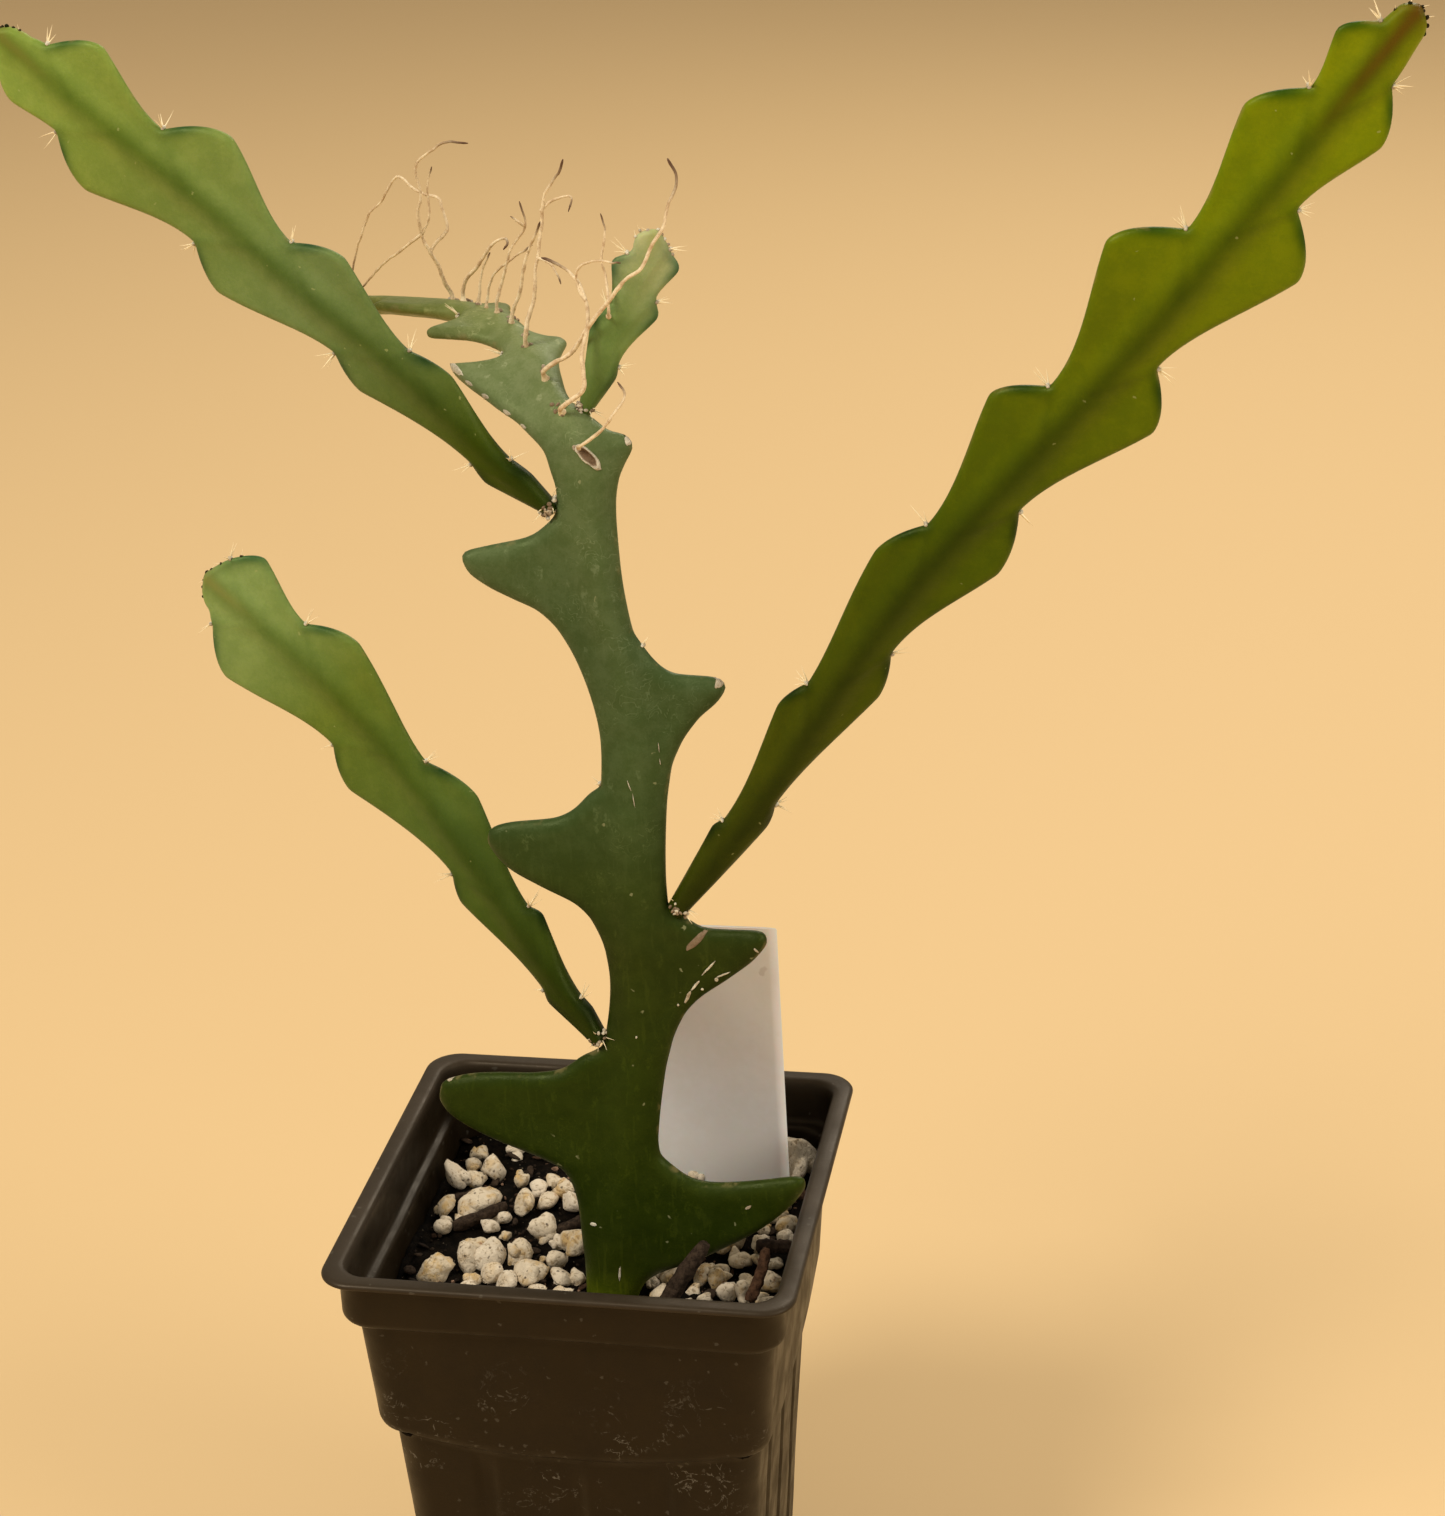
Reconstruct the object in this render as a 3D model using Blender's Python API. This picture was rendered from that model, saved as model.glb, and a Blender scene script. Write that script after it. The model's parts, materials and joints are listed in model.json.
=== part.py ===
"""Potted fishbone cactus: a square nursery pot with its potting mix and label, one old zigzag stem, four
younger shoots and the aerial roots. Lengths are in millimetres here and become metres in the meshes.
X runs to the right, Y away from the front, Z up, and the origin is the middle of the pot's underside.
Every Z in the lists is a height above the pot's rim, so what lies in the pot is negative."""
import math
import random

import bmesh
import bpy
import numpy as np
from mathutils import Matrix, Vector

MM = 0.001
GAP = 0.3
SEED = 7

# Pot
POT_HEIGHT = 120.0
CORNER_STEPS = 4
RIM_CORNER = 7.3
BODY_CORNER = 7.0
WALL = 1.3
FLOOR = 1.6
# half width of the square, height above the rim and share of the shoulder's bow, outside, bottom to top
POT_OUTSIDE = [(33.8, -120.0, 0), (34.7, -119.1, 0), (39.6, -48.0, 1), (40.2, -46.2, 1), (42.0, -44.9, 1),
               (42.5, -43.3, 1), (44.1, -14.9, 0), (44.4, -13.0, 0), (46.3, -12.6, 0), (46.9, -11.4, 0),
               (47.0, -1.9, 0), (48.6, -1.6, 0), (49.8, -1.4, 0), (50.0, -0.8, 0), (49.6, -0.2, 0)]
# the same inside, from the rim's edge down to the shoulder
POT_INSIDE = [(48.9, 0.0, 0), (46.4, 0.0, 0), (45.7, -0.5, 0), (45.4, -1.5, 0), (45.2, -9.8, 0),
              (44.7, -10.7, 0), (43.2, -11.0, 0), (42.8, -11.8, 0), (41.2, -42.2, 1), (40.7, -43.6, 1),
              (38.9, -44.9, 1), (38.2, -47.0, 1)]
# the shoulder is level in the middle of each side and rises by this much at the corners
SHOULDER_BOW = 3.6
SIDE_STEPS = 4
FLUTE_SPACING = 19.0
FLUTE_WIDTH = 4.0
FLUTE_DEPTH = 0.7
FLUTE_TOP = -50.0
FLUTE_BOTTOM = -112.0
DRAIN_RADIUS = 4.0
DRAIN_OFFSET = 23.0

# Potting mix
SOIL_LEVEL = -18.6
SOIL_RINGS = 5
GRAINS = 46
GRAIN_SIZE = (2.3, 3.9)
BIG_GRAIN = ((36.5, 37.0, -16.0), 4.8)
STEM_SLOT = (6.8, 4.2)
BARK_RADIUS = 2.1
BARK_STICKS = [((20.5, -25.0, -22.0), (25.0, -27.0, -3.5)), ((37.0, -18.0, -19.0), (37.5, -4.0, -14.0)),
               ((29.0, 2.0, -18.0), (40.0, 4.5, -16.0)), ((-30.0, 6.0, -18.5), (-18.0, 14.0, -17.0))]

# Label
LABEL_WIDTH = 35.0
LABEL_LENGTH = 91.0
LABEL_THICKNESS = 0.8
LABEL_FOOT = (20.3, 28.6, -44.4)
LABEL_POINT = 9.0
LABEL_TURN = math.radians(-1.2)

# A stem is a flat sheet along an axis. Axis rows are (x, y, z, tilt), where tilt is how far the sheet's
# front turns up from level, in degrees. Lobes alternate along both margins.
STEM_AXIS = [(5.9, -19, -43, 0), (5.9, -19, -18.5, 0), (9, -19.5, 8, 0), (12, -20, 28, 0),
             (15, -20, 47, 0), (15.5, -20, 65, 0), (15.3, -20, 83, 0), (16.2, -20, 99, 0),
             (17, -20, 112, 0), (15.8, -20, 124, 0), (13.4, -20, 136, 0), (11.4, -19.6, 147.5, 2),
             (10.3, -18.8, 158.5, 7), (9.6, -17.4, 167.6, 14), (7.7, -15.2, 172.8, 24),
             (4.6, -12.1, 176, 38), (0.2, -6.3, 179.6, 53), (-5, 1.1, 182.7, 67), (-9.9, 8, 184.8, 79),
             (-15, 14, 186, 89), (-21.5, 20, 186.2, 97), (-29, 25.6, 185.5, 102),
             (-38, 30.5, 184.6, 104), (-47, 35, 183.6, 105), (-52, 37, 183, 105)]
# station along the axis and distance out from it, with the soil line at station 0
STEM_LEFT = [(-24.5, 4.2), (-22, 5), (0, 5.5), (7, 6), (14, 7.2), (21, 8.5), (26, 10.2), (29.5, 12.8),
             (31.2, 17), (33.3, 26), (36.2, 34.6), (38.6, 38.5), (41.5, 40.2), (44.2, 39.9),
             (46, 37.4), (47.8, 33), (49.3, 27), (50.6, 21), (53, 15.2), (57, 11.5), (61, 7.4),
             (66, 6.8), (77, 6.2), (84, 6.8), (90.6, 9), (94.2, 12), (97.8, 19), (101.4, 25.8),
             (104, 28.4), (106.5, 29.8), (108.3, 29.4), (109.8, 26.8), (110.8, 22.3), (111.8, 16.5),
             (114, 12.5), (118, 9), (120.3, 6.8), (130, 7), (141, 7.8), (149, 8.8), (155.5, 10.6),
             (160, 13.6), (163.3, 18.6), (166, 22.8), (169.2, 26.2), (171.4, 26.8), (172.6, 25.4),
             (173, 22), (173.3, 16.5), (174.6, 11.4), (178.6, 6.9), (182, 6.6), (188, 7.4), (195, 7.7),
             (200, 8.6), (205, 11.4), (210.5, 13.6), (214.4, 14.4), (216.6, 14.2), (217.4, 11.5),
             (217.9, 7.3), (219, 4.4), (221.6, 3.8), (225.4, 5), (229.3, 7.6), (232.2, 11.4),
             (234.5, 14.6), (235.7, 14.4), (236.4, 12), (238, 6.6), (240.5, 3.4), (246, 5), (252, 7.6),
             (258, 9.2), (261.5, 9.2), (263.2, 7.4), (264.5, 4.4), (271, 3.8), (278, 2)]
STEM_RIGHT = [(-24.5, 4.2), (-22, 5), (-1, 5.6), (3.6, 7), (6.6, 10), (10, 18.4), (12.2, 23),
              (15.6, 30.2), (18.4, 34.2), (21, 37), (24.3, 38.6), (26.6, 37.8), (28, 34), (28.7, 29),
              (29.2, 24), (29.8, 18.5), (31.3, 14.5), (34, 11), (37.5, 7.6), (42, 6.8), (57, 6.3),
              (64.3, 7), (70, 9), (74, 12.3), (78.3, 18.8), (82.2, 24.4), (85.4, 26.7), (87.2, 26.1),
              (88.1, 23.5), (88.5, 18), (89, 14.4), (91, 11.2), (95, 6.9), (103, 6.7), (117, 6.7), (125, 7.2),
              (130, 9), (134.8, 13), (138, 17.7), (140.2, 19.4), (141.7, 18.4), (142.5, 15),
              (143.2, 10.4), (145.6, 7.2), (150, 4.9), (153.5, 3.8), (162, 4), (172, 4.6), (180, 5),
              (184, 5.8), (186.6, 7.4), (189, 9.5), (190.4, 8.7), (191.7, 5.8), (194, 4.2),
              (197.7, 2.7), (202, 2.2), (207, 3), (212, 4.4), (215, 6.6), (217.2, 8.2), (219, 7.9),
              (221, 5.8), (225, 3.6), (231, 3.8), (238, 7), (243.5, 11), (246, 11.6), (247.6, 9),
              (249, 4.8), (256, 4.2), (262, 7), (266, 8.2), (268, 5), (278, 2)]
# how far a lobe's tip runs on towards the stem's end: stations and the run at LEAN_REACH out
LEAN_REACH = 38.7
LEFT_LEAN = [(186, 0), (203, 40), (208, 50), (219, 50), (227, 0)]
RIGHT_LEAN = [(-6, 0), (4, 12), (30, 12), (44, 0), (64, 0), (72, 4), (91, 4), (98, 0)]
# the rib, wing and edge are half thicknesses, the foot is how far the rib spreads; they shrink to the end
STEM_THICKNESS = {"rib": 3.2, "wing": 1.9, "edge": 0.9, "foot": 4.2, "taper": (185, 245, 0.62)}

# A shoot's margin rows are (areole, notch, crest, reach): the station of an areole and how far out it lies,
# then the station and reach of the crest between it and the next one.
# A shoot leaves the main stem at an areole (station, side), its first section "seat" away from it.
SHOOTS = {
    "right_shoot": {
        "areole": (93, "right"), "seat": 1.9,
        "axis": [(43.4, -24, 102.5, 0), (69.2, -31, 144.3, 0), (101, -38, 183.6, 0), (126, -43, 214.8, 0),
                 (141.6, -46, 235.4, 0), (159.5, -48, 259.2, 0)],
        "face": (0.15, -1.0),
        "left": [(0, 2.2, 22, 5.1), (24.8, 4.0, 54.5, 7.9), (62, 5.2, 93.5, 9.6), (103.8, 5.3, 131.5, 13.2),
                 (140, 6.2, 168.5, 16.0), (178.5, 6.2, 201.6, 12.5), (210.4, 5.5, 220.6, 8.4),
                 (225.8, 3.2, 229.6, 2.6)],
        "right": [(0, 1.6, 28.5, 3.9), (34, 2.6, 66.5, 7.9), (76.5, 5.0, 104, 11.0), (117, 5.7, 144.8, 13.4),
                  (154.8, 6.0, 181.8, 15.0), (192.4, 6.2, 209.2, 10.4), (218.4, 5.0, 227.4, 3.9)],
        "thickness": {"rib": 2.4, "wing": 1.15, "edge": 0.5, "foot": 3.4}},
    "left_high_shoot": {
        "areole": (178.4, "left"), "seat": 1.6,
        "axis": [(-8, -17, 168, 0), (-27, -14, 185.5, 0), (-46.5, -11, 200.5, 0), (-65.5, -8, 216.6, 0),
                 (-85, -6, 231.5, 0), (-104, -4.2, 247.4, 0)],
        "face": (-0.1, -1.0),
        "left": [(0, 1.5, 13.6, 5.5), (18, 4.6, 44, 9.9), (52.6, 6.8, 77, 13.0), (86.5, 8.5, 110, 14.3),
                 (120.5, 8.2, 130.5, 9.6)],
        "right": [(0, 1.0, 8, 2.3), (13, 1.7, 32, 5.7), (41, 3.6, 61, 10.4), (71.5, 5.4, 92, 13.4),
                  (103.6, 5.9, 121.5, 11.9), (131, 4.4, 134.5, 3.4)],
        "thickness": {"rib": 2.3, "wing": 1.1, "edge": 0.5, "foot": 3.2}},
    "left_low_shoot": {
        "areole": (62, "left"), "seat": 1.5,
        "axis": [(0.6, -18, 52.4, 0), (-13.7, -12.5, 71, 0), (-27.3, -8, 88.6, 0), (-43.5, -5, 109, 0),
                 (-58, -3, 122.5, 0), (-74.7, -2, 137.2, 0)],
        "face": (-0.1, -1.0),
        "left": [(0, 2.2, 12.8, 5.1), (15.5, 4.2, 40, 8.5), (46, 6.3, 72.5, 14.2), (82.8, 9.9, 109.5, 16.1),
                 (118.8, 8.0, 121, 6.0)],
        "right": [(0, 1.0, 6.5, 2.4), (10, 1.9, 28.5, 5.8), (31.5, 4.0, 56, 9.2), (68, 4.4, 93.5, 11.4),
                  (104, 6.3, 118.6, 11.6), (124.2, 6.4, 125, 4.6)],
        "thickness": {"rib": 2.3, "wing": 1.1, "edge": 0.5, "foot": 3.2}},
    "small_shoot": {
        "areole": (196.4, "right"), "seat": 1.3,
        "axis": [(11.9, -12, 184.5, 0), (14.9, -11, 192.1, 0), (18.4, -10, 199.6, 0), (23.3, -8.9, 211, 0)],
        "face": (0.2, -1.0),
        "left": [(0, 1.2, 17, 4.8), (21, 2.9, 29.6, 5.9), (31.8, 2.7, 35.2, 3.3)],
        "right": [(0, 1.2, 8.8, 3.6), (10.6, 2.9, 22.8, 6.8), (25.2, 4.6, 32.4, 7), (35.3, 3, 36.6, 2.8)],
        "thickness": {"rib": 1.7, "wing": 1.0, "edge": 0.5, "foot": 2.6}},
}
ROWS_PER_RISE = 3
ROWS_PER_FALL = 3
TIP_WIDTH = 1.3

# Spines, in pairs at the areoles
SPINE_LENGTH = 4.2
SPINE_ROOT = 0.42
SPINE_SUNK = 1.2
STEM_SPINES = [(120.3, "left"), (220, "left"), (241, "left"), (153, "right")]

# Aerial roots: each node is a list of strands that run into each other. A strand has a radius, the place of
# its foot on a stem's front (stem, station, out), or none where it branches off, and the points it passes.
ROOTS = {
    "aerial_roots_left": [
        (0.7, ("main_stem", 248.5, 0.5),
         [(-27, 24, 191), (-28, 22.5, 195), (-29, 21, 198), (-30, 19.5, 202.5), (-30, 18, 207),
          (-29, 17, 211.5), (-29.5, 16, 216.5), (-26, 15, 220), (-22.5, 14.5, 222), (-18, 14, 222)]),
        (0.55, None,
         [(-29, 21, 198), (-27.5, 21, 200.5), (-25, 21, 203), (-26, 22, 206.5), (-27, 22.5, 209),
          (-31, 23.5, 210), (-36, 25.5, 212.5), (-39.5, 27.5, 208), (-43, 29, 204.5), (-46.5, 31, 198),
          (-49, 33, 192.5), (-51, 34, 187.5)]),
        (0.55, None,
         [(-30, 19.5, 202.5), (-36, 23, 198), (-41.5, 27, 193.5), (-47, 31, 188)]),
        (0.5, None,
         [(-30, 19.5, 202.5), (-28, 18.5, 206.5), (-27.5, 17.5, 213), (-26, 16.5, 217)])],
    "aerial_roots_curled": [
        (0.7, ("main_stem", 245.5, 1),
         [(-21.5, 22, 193.5), (-17.5, 19, 198), (-14, 17, 202), (-12, 16, 202.5), (-11.5, 15, 202),
          (-12.5, 15, 200.5)]),
        (0.6, ("main_stem", 241, 1.5),
         [(-18.5, 20, 194), (-16, 18, 199.5)])],
    "aerial_roots_middle": [
        (0.75, ("main_stem", 217.2, 0),
         [(-4.5, 1, 191), (-3.5, 1.5, 195.5), (-2.5, 2, 202.5), (-1.5, 2.5, 209.5), (-0.5, 2, 214.5),
          (2.5, 1, 219), (4, 0, 222)]),
        (0.7, ("main_stem", 227, 0.8),
         [(-8.5, 8.5, 192.5), (-6.5, 7, 199.5), (-4.5, 5.5, 204), (-1.5, 2.5, 209.5)]),
        (0.6, ("main_stem", 233, 0.6),
         [(-12, 13, 196), (-11, 12, 199), (-9, 11, 203), (-6.5, 9, 207), (-7, 8, 212)]),
        (0.5, ("main_stem", 237, 0.6),
         [(-15, 15.5, 195), (-11, 12, 199), (-7.5, 9, 201.5), (-4.5, 5.5, 204)]),
        (0.5, None,
         [(-6.5, 9, 207), (-7.5, 8, 208), (-9, 8, 209)]),
        (0.5, None,
         [(-1.5, 2.5, 211.5), (2, 2, 214), (5, 1, 214.5), (4.5, 0, 212)]),
        (0.5, None,
         [(-2.5, 2, 202.5), (0.5, 0, 201.5), (3, -2, 198.5)])],
    "aerial_roots_right": [
        (0.8, ("main_stem", 206, -0.2),
         [(5.5, -11, 187), (10.5, -14.5, 193.5), (14.5, -16, 198.5), (19, -16.5, 203.5),
          (21.5, -16, 205.5), (23.5, -15, 209.5), (25.5, -14, 212.5), (26.5, -13, 216.5), (28, -12, 221),
          (26.5, -11, 225)]),
        (0.8, ("main_stem", 197.3, -0.4),
         [(9, -17.5, 181.5), (9.5, -16.5, 188), (10.5, -14.5, 193.5), (10, -12.5, 198), (6.5, -9, 202.5),
          (0.5, -6, 204.5)]),
        (0.5, None,
         [(10, -12.5, 198), (8, -11, 201.5), (9, -12, 204.5), (13.5, -14, 206), (18, -16, 206.5)])],
    "aerial_root_front": [
        (0.6, ("main_stem", 190.3, -0.1),
         [(14, -22.5, 176), (17, -22.5, 180), (18.5, -21, 182.5), (17, -20, 184.5)])],
    "aerial_root_tip": [
        (0.5, ("small_shoot", 19.4, -2.2),
         [(14, -12.5, 201.5), (13.5, -11.5, 207.5), (14, -11.5, 211), (13.5, -11.5, 214.5)])],
}
ROOT_FOOT = 1.3

# Colours and roughness of the plain materials
FINISHES = {"pot": ((0.028, 0.024, 0.022), 0.5), "soil": ((0.09, 0.065, 0.045), 0.9),
            "plant_label": ((0.75, 0.75, 0.74), 0.4), "main_stem": ((0.05, 0.13, 0.03), 0.45),
            "right_shoot": ((0.20, 0.28, 0.01), 0.4), "left_high_shoot": ((0.17, 0.30, 0.03), 0.4),
            "left_low_shoot": ((0.15, 0.27, 0.02), 0.4), "small_shoot": ((0.25, 0.38, 0.05), 0.4),
            "root": ((0.62, 0.42, 0.22), 0.7)}


def natural_spline(stations, values):
    """The smooth curve through values at stations whose bend is none at both ends, as a function."""
    s = np.asarray(stations, float)
    v = np.asarray(values, float)
    steps = np.diff(s)
    last = len(s) - 1
    matrix = np.eye(last + 1)
    bend = np.zeros_like(v)
    for i in range(1, last):
        matrix[i, i - 1:i + 2] = steps[i - 1], 2 * (steps[i - 1] + steps[i]), steps[i]
        bend[i] = 6 * ((v[i + 1] - v[i]) / steps[i] - (v[i] - v[i - 1]) / steps[i - 1])
    bend = np.linalg.solve(matrix, bend)

    def at(t):
        i = int(np.clip(np.searchsorted(s, t) - 1, 0, last - 1))
        a = (s[i + 1] - t) / steps[i]
        b = (t - s[i]) / steps[i]
        curve = (a ** 3 - a) * bend[i] + (b ** 3 - b) * bend[i + 1]
        return a * v[i] + b * v[i + 1] + curve * steps[i] ** 2 / 6
    return at


def steady_curve(points):
    """The smooth curve through (station, value) points that never swings past them, as a function."""
    x, y = np.array(points, float).T
    steps = np.diff(x)
    slopes = np.diff(y) / steps
    turn = slopes[:-1] * slopes[1:]
    middle = np.where(turn > 0, 2 * turn / np.where(turn > 0, slopes[:-1] + slopes[1:], 1), 0)
    tangent = np.concatenate([[slopes[0]], middle, [slopes[-1]]])

    def at(t):
        t = float(np.clip(t, x[0], x[-1]))
        i = int(np.clip(np.searchsorted(x, t) - 1, 0, len(steps) - 1))
        f = (t - x[i]) / steps[i]
        rise = (3 - 2 * f) * f * f
        swing = f * (1 - f) * ((1 - f) * tangent[i] - f * tangent[i + 1]) * steps[i]
        return float(y[i] + (y[i + 1] - y[i]) * rise + swing)
    return at


class Sheet:
    """A flat stem: its axis, which way it faces, both margins and its thickness."""

    def __init__(self, axis, face, start, margins, leans, thickness):
        points = np.array([row[:3] for row in axis], float)
        tilts = np.radians([row[3] for row in axis])
        sideways, forward = np.array(face) / math.hypot(*face)
        fronts = np.array([(sideways * math.cos(t), forward * math.cos(t), math.sin(t)) for t in tilts])
        stations = np.concatenate([[0], np.cumsum(np.linalg.norm(np.diff(points, axis=0), axis=1))]) + start
        self.start, self.end = stations[0], stations[-1]
        self.point = natural_spline(stations, points)
        self.front = natural_spline(stations, fronts)
        self.margins = margins
        self.leans = leans
        self.thickness = thickness

    def frame(self, s):
        """Centre, run, across and front at station s."""
        run = self.point(s + 0.05) - self.point(s - 0.05)
        run /= np.linalg.norm(run)
        front = self.front(s)
        front = front - front.dot(run) * run
        front /= np.linalg.norm(front)
        return self.point(s), run, np.cross(run, front), front

    def place(self, s, out, lift):
        """The place at station s, out across the sheet (left is negative) and lifted off its middle."""
        centre, run, across, front = self.frame(s)
        lean = self.leans["left" if out < 0 else "right"](s) * (out / LEAN_REACH) ** 2
        return centre + lean * run + out * across + lift * front

    def slimness(self, s):
        """How thick the sheet is at station s as a share of its full thickness: less towards the end."""
        first, last, share = self.thickness.get("taper", (self.end - 30, self.end, 0.55))
        return 1 - (1 - share) * min(1.0, max(0.0, (s - first) / (last - first)))

    def half_thickness(self, s, out):
        """Rib height at the axis, falling to the wing at the rib's foot and thinning to the edge."""
        margin = self.margins["left" if out < 0 else "right"](s)
        slim = self.slimness(s)
        wing = slim * self.thickness["wing"]
        rib = slim * self.thickness["rib"]
        foot = min(self.thickness["foot"], 0.5 * margin)
        if abs(out) <= foot:
            return wing + min(rib - wing, 0.5 * margin) * (1 - (abs(out) / foot) ** 2)
        share = (abs(out) - foot) / (margin - foot)
        return wing + (self.thickness["edge"] - wing) * share ** 2

    def section(self, s):
        """Ten points round the sheet at station s: front from left to right, then back."""
        left = self.margins["left"](s)
        right = self.margins["right"](s)
        foot = self.thickness["foot"]
        columns = [-left, -min(foot, 0.5 * left), 0.0, min(foot, 0.5 * right), right]
        front = [self.place(s, out, self.half_thickness(s, out)) for out in columns]
        back = [self.place(s, out, -self.half_thickness(s, out)) for out in reversed(columns)]
        return front + back

    def seat(self, s, out):
        """The place just above the sheet's front at (s, out), and the way that the front faces there."""
        front = self.frame(s)[3]
        return self.place(s, out, self.half_thickness(s, out) + 2 * GAP), front


def lobed_margin(rows, end):
    """The margin of a shoot: the stalk widens evenly, then from each areole the margin swells along a slow
    curve to a crest and falls in fast to the next one. Returns it and the stations that its shape needs."""
    knots = rows + [(end, TIP_WIDTH, end, TIP_WIDTH)]

    def at(s):
        i = max(k for k in range(len(rows)) if k == 0 or s >= knots[k][0])
        areole, notch, crest, reach = knots[i]
        following, following_notch = knots[i + 1][:2]
        if s < crest:
            x = max(0.0, (s - areole) / (crest - areole))
            swell = x if i == 0 else x * x * (2 - x)
            return notch + (reach - notch) * swell
        x = min(1.0, (s - crest) / (following - crest))
        return following_notch + (reach - following_notch) * (1 - x ** 1.8)

    stations = []
    for (areole, _, crest, _), (following, _, _, _) in zip(knots, knots[1:]):
        stations += [areole + (crest - areole) * step / ROWS_PER_RISE for step in range(ROWS_PER_RISE)]
        stations += [crest + (following - crest) * step / ROWS_PER_FALL for step in range(ROWS_PER_FALL)]
    return at, stations


def finish(name):
    """The plain material of one kind of piece."""
    colour, roughness = FINISHES[name]
    material = bpy.data.materials.new(name)
    material.use_nodes = True
    shader = material.node_tree.nodes["Principled BSDF"]
    shader.inputs["Base Color"].default_value = (*colour, 1)
    shader.inputs["Roughness"].default_value = roughness
    return material


def new_collection(name):
    collection = bpy.data.collections.new(name)
    bpy.context.scene.collection.children.link(collection)
    return collection


def new_object(name, bm, collection, material=None):
    """A mesh object from a bmesh whose faces are turned to point out."""
    bmesh.ops.recalc_face_normals(bm, faces=bm.faces)
    mesh = bpy.data.meshes.new(name)
    bm.to_mesh(mesh)
    bm.free()
    obj = bpy.data.objects.new(name, mesh)
    collection.objects.link(obj)
    if material:
        mesh.materials.append(material)
    return obj


def loft(rings):
    """A closed bmesh through rings of points of equal count, capped at both ends."""
    bm = bmesh.new()
    rows = [[bm.verts.new(((x * MM), y * MM, (z + POT_HEIGHT) * MM)) for x, y, z in ring] for ring in rings]
    count = len(rows[0])
    for lower, upper in zip(rows, rows[1:]):
        for i in range(count):
            j = (i + 1) % count
            bm.faces.new((lower[i], lower[j], upper[j], upper[i]))
    bm.faces.new(rows[0])
    bm.faces.new(rows[-1])
    return bm


def rounded_square(half, corner, height, bow=0.0):
    """A ring of points round a square with round corners, lower by bow in the middle of each side."""
    straight = half - corner
    ring = []
    for quarter, (along, across) in enumerate(((1, 1), (-1, 1), (-1, -1), (1, -1))):
        for step in range(CORNER_STEPS + 1):
            angle = math.pi / 2 * (quarter + step / CORNER_STEPS)
            ring.append((straight * along + corner * math.cos(angle),
                         straight * across + corner * math.sin(angle), height + bow))
        for step in range(1, SIDE_STEPS):
            share = 1 - 2 * step / SIDE_STEPS
            turn = math.pi / 2 * quarter
            x, y = straight * share, half
            ring.append((x * math.cos(turn) - y * math.sin(turn), x * math.sin(turn) + y * math.cos(turn),
                         height + bow * abs(share) ** 2.5))
    return ring


def slab(size, place):
    """A box bmesh of that size in millimetres, placed by a matrix in millimetres."""
    bm = bmesh.new()
    bmesh.ops.create_cube(bm, size=1, matrix=Matrix.Diagonal((*size, 1)))
    bmesh.ops.transform(bm, matrix=Matrix.Scale(MM, 4) @ place, verts=bm.verts)
    return bm


def rod(start, finish_at, start_radius, end_radius, sides):
    """A bmesh rod or spike between two places."""
    a = Vector(start)
    b = Vector(finish_at)
    turn = (b - a).to_track_quat("Z", "Y").to_matrix().to_4x4()
    place = Matrix.Translation((a + b) / 2 + Vector((0, 0, POT_HEIGHT))) @ turn
    bm = bmesh.new()
    bmesh.ops.create_cone(bm, cap_ends=True, segments=sides, radius1=start_radius, radius2=end_radius,
                          depth=(b - a).length)
    bmesh.ops.transform(bm, matrix=Matrix.Scale(MM, 4) @ place, verts=bm.verts)
    return bm


def cut(obj, cutters):
    """Takes a collection of cutters out of an object."""
    for cutter in cutters.objects:
        cutter.hide_render = True
        cutter.display_type = "WIRE"
    modifier = obj.modifiers.new("cut", "BOOLEAN")
    modifier.operation = "DIFFERENCE"
    modifier.operand_type = "COLLECTION"
    modifier.collection = cutters


def fuse(obj, extras, solver="EXACT"):
    """Joins a collection's objects to obj as one body, then removes them."""
    modifier = obj.modifiers.new("fuse", "BOOLEAN")
    modifier.solver = solver
    modifier.operation = "UNION"
    modifier.operand_type = "COLLECTION"
    modifier.collection = extras
    fused = bpy.data.meshes.new_from_object(obj.evaluated_get(bpy.context.evaluated_depsgraph_get()))
    obj.modifiers.remove(modifier)
    obj.data = fused
    for extra in list(extras.objects):
        bpy.data.objects.remove(extra)
    bpy.data.collections.remove(extras)


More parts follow.
